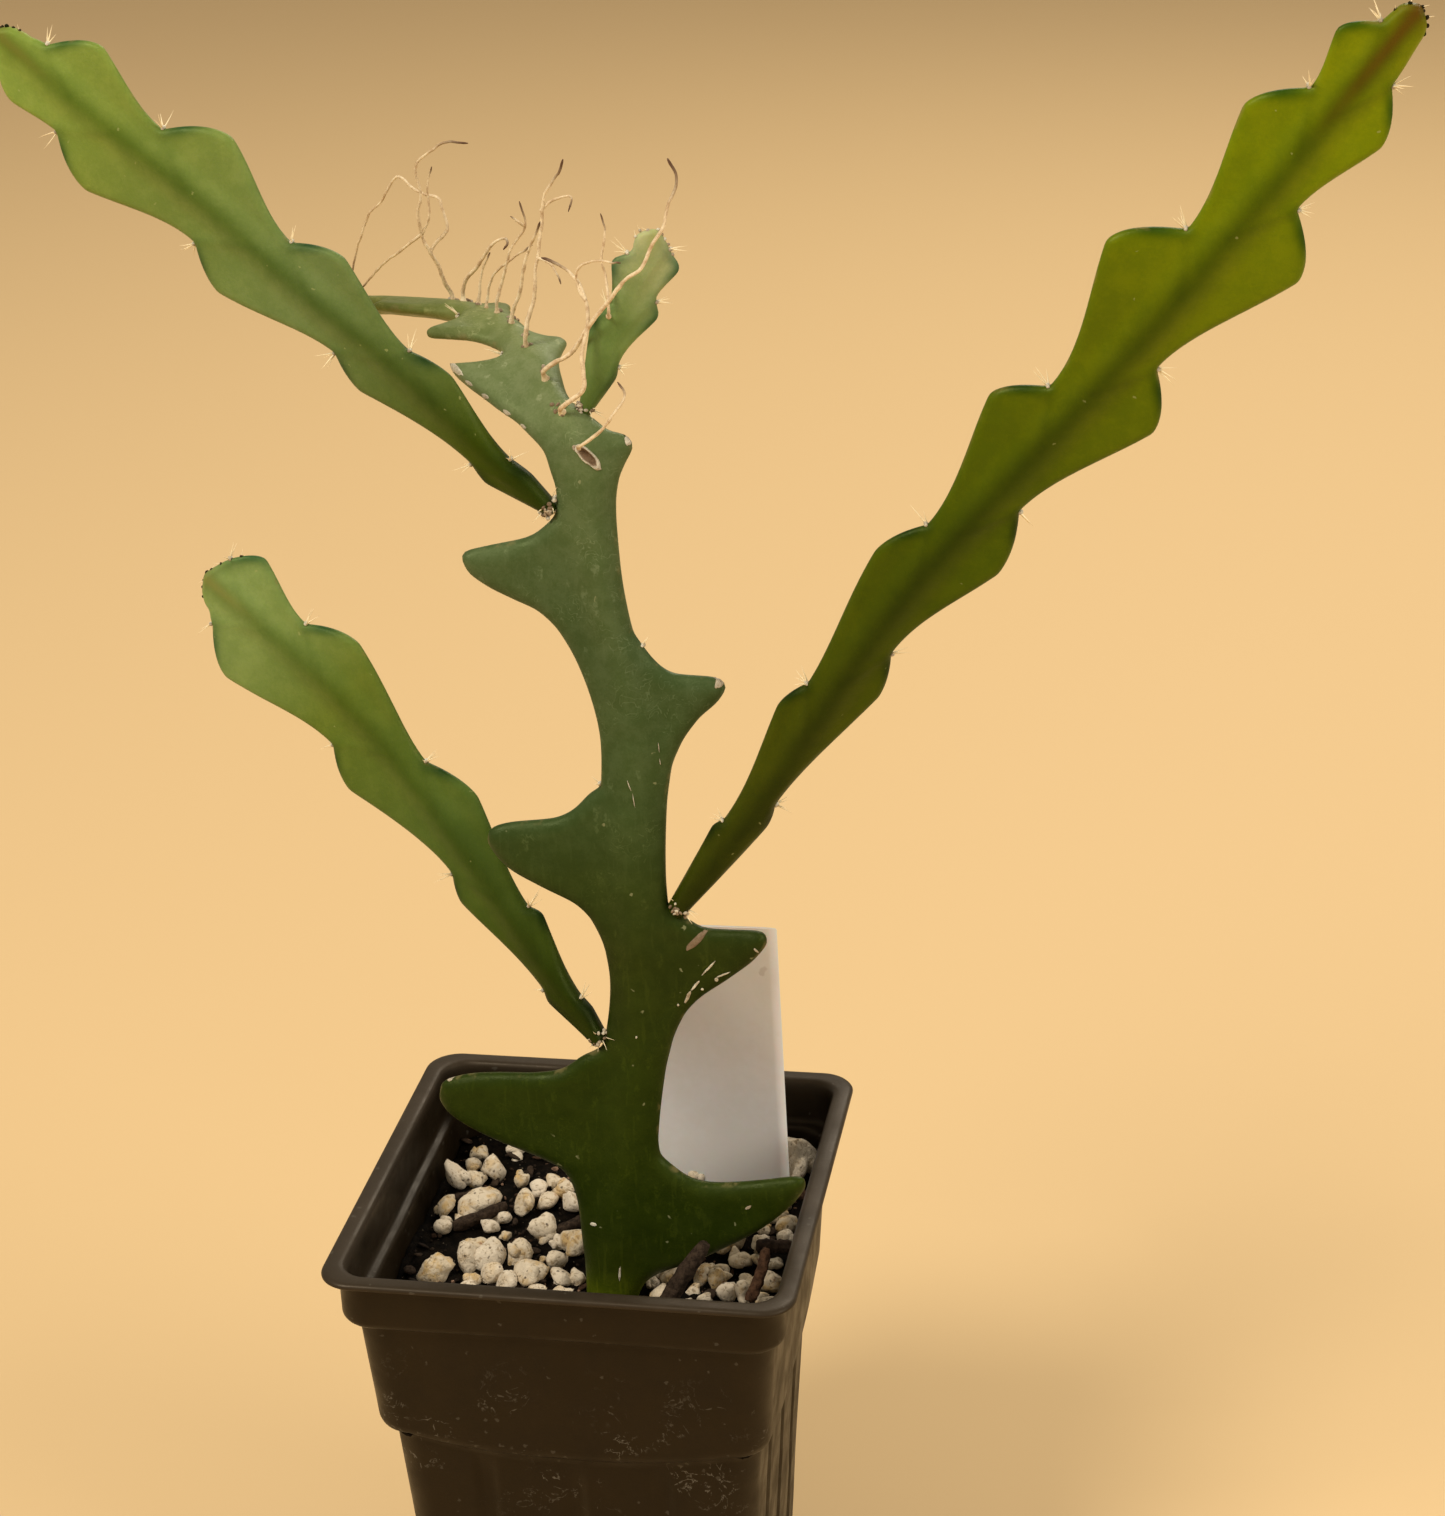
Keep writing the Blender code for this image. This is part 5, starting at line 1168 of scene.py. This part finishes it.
def old_stem_material():
    """Dark waxy green, greyer and paler towards the top (partly its own colour, partly painted light from
    above and painted shade low down by the mix), with pale flecks, streaks, fine lines of scale and an edge
    that is worn brown here and there."""
    material, tree, shader = new_material("old_stem_skin", 0.42, Specular_IOR_Level=0.17,
                                          Specular_Tint=(0.85, 1.0, 0.5, 1))
    place = millimetres(tree)
    age = mark(tree, "age")
    # painted light and shade along the age: dark low down by the mix, paler towards the top where light falls
    # from above, over the skin's own change
    colour = ramp(tree, age, [(0.0, (0.04, 0.06, 0.002)), (0.03, (0.013, 0.021, 0.0012)),
                              (0.1, (0.0115, 0.021, 0.0012)), (0.2, (0.0095, 0.019, 0.0008)),
                              (0.3, (0.0105, 0.0182, 0.0014)), (0.36, (0.0165, 0.03, 0.0045)),
                              (0.42, (0.025, 0.046, 0.012)), (0.54, (0.033, 0.057, 0.018)),
                              (0.66, (0.045, 0.071, 0.022)), (0.77, (0.094, 0.13, 0.046)),
                              (0.95, (0.086, 0.108, 0.018))])
    colour = tinted(tree, grain(tree, place, 0.09, 4.0), colour, (1.7, 1.6, 1.7))
    colour = tinted(tree, times(tree, mark(tree, "rib"), 0.8), colour, (1.25, 1.2, 1.25))
    paler = tinted(tree, 1.0, colour, (2.1, 1.8, 2.6))
    colour = mottled(tree, place, colour, paler, 0.3, 0.3)
    broken = spread(tree, grain(tree, place, 1.1, 4.0, 0.65), 0.46, 0.56, 0.15, 1.0)
    colour = flecked(tree, stretched(tree, place, (1, 1, 0.45)), colour, paler, 0.34, 0.32, 0.4,
                     times(tree, broken, 0.75))
    colour = flecked(tree, place, colour, (0.26, 0.27, 0.14, 1), 0.2, 0.1, 0.5, 0.6)
    streaks = grain(tree, stretched(tree, place, (0.9, 0.9, 0.14)), 0.9, 4.0, 0.6)
    low_down = spread(tree, age, 0.2, 0.45, 0.5, 0.12)
    colour = blend(tree, times(tree, spread(tree, streaks, 0.57, 0.66), low_down), colour, paler)
    scales = times(tree, thin_lines(tree, grain(tree, place, 0.3, 2.0, 0.5, 1.2), 0.003, 0.014),
                   spread(tree, grain(tree, place, 0.11, 2.0), 0.5, 0.6))
    colour = blend(tree, times(tree, scales, 0.75), colour, paler)
    worn = times(tree, one_less(tree, spread(tree, mark(tree, "rim"), 0.0, 0.1)),
                 spread(tree, grain(tree, place, 0.25, 5.0), 0.55, 0.66))
    colour = blend(tree, times(tree, worn, 0.4), colour, (0.24, 0.19, 0.08, 1))
    dress(tree, shader, place, colour, (1.6, 5.0, 0.6, 0.0, 0.14, 0.7), (0.25, 4.0, 0.34, 0.52))
    return material


def shoot_material(name, stops, rib, tip):
    """Bright young skin: colours along the shoot, a darker rib that is partly its own colour and partly
    painted shade along the midrib, and painted shade in dark green from each areole along the edge of the
    lobe below it."""
    material, tree, shader = new_material(name, 0.4, Specular_IOR_Level=0.2, Subsurface_Weight=0.12,
                                          Specular_Tint=(0.85, 1.0, 0.4, 1))
    shader.inputs["Subsurface Radius"].default_value = (0.6, 1.0, 0.1)
    shader.inputs["Subsurface Scale"].default_value = 0.0015
    place = millimetres(tree)
    age = mark(tree, "age")
    colour = ramp(tree, age, stops)
    colour = tinted(tree, grain(tree, place, 0.07, 3.0), colour, (1.5, 1.4, 1.5))
    lighter = tinted(tree, 1.0, colour, (1.45, 1.3, 1.5))
    colour = mottled(tree, place, colour, lighter, 0.22, 0.5)
    # the rib's tint: partly its own darker green, partly painted shade along the midrib
    colour = tinted(tree, maths(tree, "POWER", mark(tree, "rib"), 1.7), colour, rib)
    colour = tinted(tree, times(tree, mark(tree, "vein"), 0.25), colour, rib)
    # painted shade: dark green along the lobe's edge below each areole
    colour = tinted(tree, mark(tree, "areole"), colour, (0.14, 0.3, 0.3))
    edge = one_less(tree, spread(tree, mark(tree, "rim"), 0.0, 0.07))
    worn = times(tree, edge, spread(tree, grain(tree, place, 0.2, 4.0), 0.54, 0.64))
    worn = times(tree, worn, spread(tree, age, 0.35, 0.7, 0.0, 0.35))
    colour = blend(tree, worn, colour, (0.3, 0.2, 0.07, 1))
    streak = times(tree, maths(tree, "POWER", mark(tree, "rib"), 7.0), 0.8)
    colour = blend(tree, times(tree, spread(tree, age, 0.86, 0.98), streak), colour, tip)
    colour = blend(tree, times(tree, spread(tree, age, 0.975, 1.0), 0.4), colour, tip)
    colour = flecked(tree, place, colour, (0.4, 0.4, 0.16, 1), 0.35, 0.11, 0.3, 0.35)
    dress(tree, shader, place, colour, (2.2, 4.0, 0.6, 0.0, 0.1, 0.7), (0.3, 4.0, 0.34, 0.5))
    return material


def pot_material():
    """Near black plastic, a little paler on the rim, with specks of dust, and patches of pale smears at the
    shoulder."""
    material, tree, shader = new_material("pot_plastic", 0.42, Specular_IOR_Level=0.24,
                                          Specular_Tint=(1.0, 0.85, 0.65, 1))
    place = millimetres(tree)
    height = height_of(tree, place)
    colour = blend(tree, spread(tree, height, RIM_HEIGHT - 4, RIM_HEIGHT), (0.0082, 0.005, 0.0019, 1),
                   (0.025, 0.018, 0.011, 1))
    colour = mottled(tree, place, colour, tinted(tree, 1.0, colour, (1.6, 1.6, 1.7)), 0.05, 0.5)
    smears = thin_lines(tree, grain(tree, place, 0.16, 4.0, 0.6, 0.9), 0.004, 0.02)
    shoulder = times(tree, spread(tree, height, RIM_HEIGHT - 66, RIM_HEIGHT - 50),
                     one_less(tree, spread(tree, height, RIM_HEIGHT - 42, RIM_HEIGHT - 16)))
    patch = spread(tree, grain(tree, place, 0.07, 3.0), 0.5, 0.6)
    smears = times(tree, smears, times(tree, shoulder, patch))
    smears = times(tree, smears, spread(tree, grain(tree, place, 0.9, 3.0), 0.44, 0.56))
    specks = flecks(tree, place, 0.35, 0.2, 0.3)
    dust = maths(tree, "ADD", times(tree, smears, 0.75), times(tree, specks, 0.25), True)
    colour = blend(tree, dust, colour, (0.13, 0.12, 0.1, 1))
    dress(tree, shader, place, colour, (1.4, 5.0, 0.65, 0.0, 0.06, 0.5), (0.12, 5.0, 0.34, 0.55))
    return material


def perlite_material():
    """Chalky white with ochre stains, rust, painted shade in the hollows of its bump and dark specks of mix.
    """
    material, tree, shader = new_material("perlite", 0.9, Specular_IOR_Level=0.2)
    place = millimetres(tree)
    tone = mark(tree, "tone")
    colour = blend(tree, tone, (0.68, 0.6, 0.48, 1), (0.58, 0.49, 0.35, 1))
    stain = spread(tree, grain(tree, place, 0.28, 4.0, 0.6), 0.47, 0.66)
    stain = times(tree, stain, spread(tree, tone, 0.1, 0.7, 0.3, 1.0))
    colour = blend(tree, times(tree, stain, 0.75), colour, (0.5, 0.32, 0.1, 1))
    rust = times(tree, spread(tree, grain(tree, place, 0.45, 4.0, 0.65), 0.62, 0.72),
                 spread(tree, tone, 0.4, 0.6))
    colour = blend(tree, times(tree, rust, 0.8), colour, (0.33, 0.13, 0.04, 1))
    # painted shade: darker where the bump's noise is low, in its hollows
    hollow_shade = one_less(tree, spread(tree, grain(tree, place, 0.95, 3.0, 0.6, 0.6), 0.36, 0.46))
    colour = tinted(tree, times(tree, hollow_shade, 0.75), colour, (0.5, 0.44, 0.36))
    colour = flecked(tree, place, colour, (0.06, 0.04, 0.025, 1), 0.8, 0.3, 0.24, 0.8)
    dress(tree, shader, place, colour, (0.95, 5.0, 0.6, 0.6, 0.6, 1.0))
    return material


def soil_material():
    """Damp black brown mix."""
    material, tree, shader = new_material("potting_mix", 0.95, Specular_IOR_Level=0.06)
    place = millimetres(tree)
    colour = mottled(tree, place, (0.0025, 0.002, 0.0015, 1), (0.012, 0.008, 0.005, 1), 0.5, 0.8)
    colour = flecked(tree, place, colour, (0.3, 0.25, 0.18, 1), 1.2, 0.25, 0.1, 0.6)
    dress(tree, shader, place, colour, (1.5, 6.0, 0.7, 0.0, 0.8, 1.0))
    return material


def bark_material():
    """Brown bark, each piece its own tone."""
    material, tree, shader = new_material("bark", 0.85, Specular_IOR_Level=0.12)
    place = millimetres(tree)
    colour = ramp(tree, mark(tree, "tone"), [(0.0, (0.02, 0.013, 0.009)), (0.25, (0.062, 0.041, 0.027)),
                                             (0.45, (0.05, 0.032, 0.022)), (0.7, (0.1, 0.05, 0.027)),
                                             (0.97, (0.42, 0.26, 0.18))])
    colour = mottled(tree, place, colour, tinted(tree, 1.0, colour, (0.22, 0.2, 0.18)), 0.8, 0.9)
    dress(tree, shader, place, colour, (1.3, 5.0, 0.65, 0.0, 0.7, 1.0))
    return material


def root_material():
    """Cream roots mottled with tan, the tan partly their own colour and partly painted shade, with brown
    tips.
    """
    material, tree, shader = new_material("root_skin", 0.7, Specular_IOR_Level=0.3)
    place = millimetres(tree)
    # the tan second colour is partly the roots' own tan, partly painted shade
    colour = mottled(tree, place, (0.82, 0.68, 0.46, 1), (0.4, 0.24, 0.11, 1), 0.5, 0.75)
    colour = blend(tree, mark(tree, "tip"), colour, (0.09, 0.04, 0.018, 1))
    dress(tree, shader, place, colour, (3.0, 4.0, 0.6, 0.0, 0.15, 0.7))
    return material


def spine_material():
    """Straw spines, browner at the foot."""
    material, tree, shader = new_material("spine", 0.55)
    colour = ramp(tree, mark(tree, "along"), [(0.0, (0.55, 0.38, 0.2)), (0.2, (0.9, 0.78, 0.52)),
                                              (1.0, (0.92, 0.76, 0.48))])
    put(tree, shader.inputs["Base Color"], colour)
    return material


def felt_material():
    """Brown and cream felt of areoles, and cork."""
    material, tree, shader = new_material("felt", 0.9, Specular_IOR_Level=0.15)
    place = millimetres(tree)
    colour = ramp(tree, mark(tree, "tone"), [(0.0, (0.012, 0.02, 0.003)), (0.2, (0.03, 0.022, 0.008)),
                                             (0.5, (0.16, 0.1, 0.055)), (0.75, (0.36, 0.28, 0.19)),
                                             (1.0, (0.78, 0.74, 0.6))])
    colour = mottled(tree, place, colour, tinted(tree, 1.0, colour, (0.45, 0.36, 0.28)), 0.9, 0.6)
    dress(tree, shader, place, colour, (4.0, 4.0, 0.7, 0.0, 0.3, 0.9))
    return material


def label_material():
    """Plain white plastic, a little see-through, that has dulled towards its top."""
    material, tree, shader = new_material("label_plastic", 0.38, Specular_IOR_Level=0.5,
                                          Subsurface_Weight=0.2)
    shader.inputs["Subsurface Scale"].default_value = 0.002
    place = millimetres(tree)
    colour = mottled(tree, place, (0.71, 0.705, 0.7, 1), (0.64, 0.625, 0.59, 1), 0.06, 0.5)
    dulled = spread(tree, height_of(tree, place), RIM_HEIGHT, RIM_HEIGHT + 42)
    colour = tinted(tree, dulled, colour, (0.8, 0.78, 0.72))
    colour = flecked(tree, place, colour, (0.3, 0.24, 0.17, 1), 0.12, 0.12, 0.35, 0.35)
    put(tree, shader.inputs["Base Color"], colour)
    return material


def hair(start, aim, length, width, bend):
    """A spine's row for tapered, with its way made one long."""
    return start, aim / np.linalg.norm(aim), length, width, bend


def grow_at_tip(name, sheet, draw, hairs, felts):
    """Young buds and bristles round a shoot's tip."""
    _, run, across, _ = (v[0] for v in sheet.frames(np.array([sheet.end])))
    for back, way in BUDS:
        s = np.array([sheet.end - back])
        out = way * (sheet.margin(s, way) - 0.1)
        spot = sheet.place(s, out, np.zeros(1))[0] + draw.normal(0, 0.12, 3)
        felts.append((spot, draw.uniform(0.3, 0.6, 3), BUD_TONES[name] + draw.uniform(-0.1, 0.3)))
        if draw.uniform() < 0.7:
            aim = run * 0.8 + across * way * 0.6 + draw.normal(0, 0.35, 3)
            hairs.append(hair(spot, aim, draw.uniform(0.9, 1.8), 0.12, draw.normal(0, 0.1, 3)))


def grow_at_foot(sheet, draw, hairs, felts):
    """A collar of felt and bristles round the front of a shoot's foot."""
    base, lead, across, _ = (v[0] for v in sheet.frames(np.array([sheet.start])))
    ahead = np.array([0, -1, 0])
    collar = float(sheet.thickness["rib"])
    for turn in draw.uniform(-1.5, 1.5, 16):
        spot = base + collar * (math.cos(turn) * ahead + math.sin(turn) * across)
        spot = spot + lead * draw.normal(-0.2, 0.5)
        felts.append((spot, draw.uniform(0.3, 0.7, 3), draw.uniform(0.6, 0.95)))
    for turn in draw.uniform(-1.5, 1.5, 7):
        aim = math.cos(turn) * ahead + math.sin(turn) * across + draw.normal(0, 0.5, 3)
        start = base + 0.8 * collar * aim / np.linalg.norm(aim)
        hairs.append(hair(start, aim, draw.uniform(1.6, 3.6), draw.uniform(0.12, 0.2),
                          draw.normal(0, 0.3, 3)))


def build_stems(felt, spine):
    """The stems' skins, scars, spines, felt and buds. Returns their sheets."""
    draw = np.random.default_rng(17)
    stem = main_stem_sheet()
    sheets = {"main_stem": stem}
    piece("main_stem_skin", stem.shape(stem.start, STEM_STEP), old_stem_material(), ["main_stem"])
    seats = [(stem, station, side, count) for station, side, count in STEM_SPINES]
    for number, name in enumerate(SHOOTS):
        sheet = shoot_sheet(name, stem, 41 + 10 * number)
        sheets[name] = sheet
        material = shoot_material(name + "_skin", *SHOOT_COLOURS[name])
        piece(name + "_skin", sheet.shape(sheet.start - 1.4, SHOOT_STEP), material, [name])
        for station, side in sheet.edge_areoles:
            seats.append((sheet, station, side, int(draw.integers(3, 6))))
    scars = [scar_shape(stem, *scar, 300 + 2 * number) for number, scar in enumerate(SCARS)]
    scars.append(scar_shape(stem, *WOUND, 0.95, 290, 0.55))
    piece("stem_scars", gathered(scars), felt)
    hairs, felts = [], []
    for station, out, count, reach in STUBS:
        spots = draw.normal(0, reach * 0.6, (count, 2)) + (station, out)
        for place in stem.on_front(spots[:, 0], spots[:, 1]):
            felts.append((place, draw.uniform(0.35, 0.75, 3), 0.75))
    for sheet, station, side, count in seats:
        place, way, front = sheet.edge_seat(station, side)
        felts.append((place + 0.25 * way, (0.6, 0.6, 0.5), 1.0))
        felts.append((place + 0.1 * way + 0.4 * front, (0.45, 0.45, 0.4), 0.9))
        for _ in range(count):
            aim = way + front * draw.uniform(-0.7, 1.0) + draw.normal(0, 0.32, 3)
            hairs.append(hair(place - 0.2 * way, aim, draw.uniform(2.4, 4.8), draw.uniform(0.17, 0.24),
                              draw.normal(0, 0.25, 3)))
    for name in SHOOTS:
        grow_at_tip(name, sheets[name], draw, hairs, felts)
        grow_at_foot(sheets[name], draw, hairs, felts)
    piece("areole_spines", tapered(*map(np.array, zip(*hairs))), spine)
    centres, sizes, tones = map(np.array, zip(*felts))
    tones = tones + draw.uniform(-0.1, 0.1, len(felts))
    shape = lumps(centres, sizes, random_turns(len(felts), draw), draw, 6, 8, 4, 0.5, tones)
    piece("areole_felt", shape, felt)
    return sheets


def build_roots(sheets):
    """The six tangles of aerial roots."""
    material = root_material()
    for number, (name, strands) in enumerate(ROOTS.items()):
        shapes = [strand_shape(*strand, sheets, 100 * number + 3 * i) for i, strand in enumerate(strands)]
        piece(name + "_fine", gathered(shapes), material, [name])


def build_pot_and_mix():
    """Pot, mix, grit, bark and label."""
    draw = np.random.default_rng(29)
    pot = piece("pot_shell", pot_shape(), pot_material(), ["pot"])
    drain_holes(pot)
    piece("mix_bed", soil_shape(), soil_material(), ["soil"])
    piece("perlite_grains", grain_shape(draw), perlite_material())
    bark = bark_material()
    chips = scatter(CHIPS, (1.0, 2.8), 0.28, draw, 6, 8, 0.2)
    crumbs = scatter(CRUMBS, (0.3, 0.9), 0.6, draw, 4, 6)
    piece("bark_pieces", gathered([stick_shape(), chips, crumbs]), bark)
    piece("label_plate", label_shape(), label_material(), ["plant_label"])


def stage_object(name, points, faces, material):
    mesh = bpy.data.meshes.new(name)
    mesh.from_pydata(points, [], faces)
    mesh.materials.append(material)
    obj = bpy.data.objects.new(name, mesh)
    bpy.context.scene.collection.objects.link(obj)


def build_stage():
    """A plain pale floor, soft lights and an even sky."""
    material, _, shader = new_material("floor_paint", 0.75)
    shader.inputs["Base Color"].default_value = FLOOR_COLOUR
    turn = np.arange(64) * 2 * np.pi / 64
    rim = np.stack([FLOOR_RADIUS * np.cos(turn), FLOOR_RADIUS * np.sin(turn), 0 * turn], axis=1)
    stage_object("floor", rim.tolist(), [tuple(range(64))], material)
    for name, place, size, power in LIGHTS:
        light = bpy.data.lights.new(name, "AREA")
        light.shape = "DISK"
        light.size = size
        light.energy = power
        light.color = LIGHT_COLOUR
        obj = bpy.data.objects.new(name, light)
        bpy.context.scene.collection.objects.link(obj)
        obj.location = place
        aim = Vector(LIGHTS_AIM) - Vector(place)
        obj.rotation_euler = aim.to_track_quat("-Z", "Y").to_euler()
    world = bpy.data.worlds.new("sky")
    bpy.context.scene.world = world
    world.use_nodes = True
    world.node_tree.nodes["Background"].inputs[0].default_value = SKY_COLOUR
    world.node_tree.nodes["Background"].inputs[1].default_value = SKY_STRENGTH
    bpy.context.scene.view_settings.view_transform = "Standard"


def build_camera():
    """The camera at the photo's place and angle."""
    x, y, z = CAMERA_PLACE
    yaw, pitch, roll = np.radians(CAMERA_TURNS)
    ahead = Vector((math.sin(yaw) * math.cos(pitch), math.cos(yaw) * math.cos(pitch), -math.sin(pitch)))
    right = Vector((math.cos(yaw), -math.sin(yaw), 0))
    up = right.cross(ahead)
    right, up = (math.cos(roll) * right + math.sin(roll) * up, -math.sin(roll) * right + math.cos(roll) * up)
    camera = bpy.data.cameras.new("camera")
    camera.lens = CAMERA_LENS
    camera.sensor_width = 36
    camera.clip_end = 30
    obj = bpy.data.objects.new("camera", camera)
    bpy.context.scene.collection.objects.link(obj)
    turn = Matrix((right, up, -ahead)).transposed().to_4x4()
    obj.matrix_world = Matrix.Translation((x * MM, y * MM, (z + RIM_HEIGHT) * MM)) @ turn
    bpy.context.scene.camera = obj


build_pot_and_mix()
all_sheets = build_stems(felt_material(), spine_material())
build_roots(all_sheets)
build_stage()
build_camera()
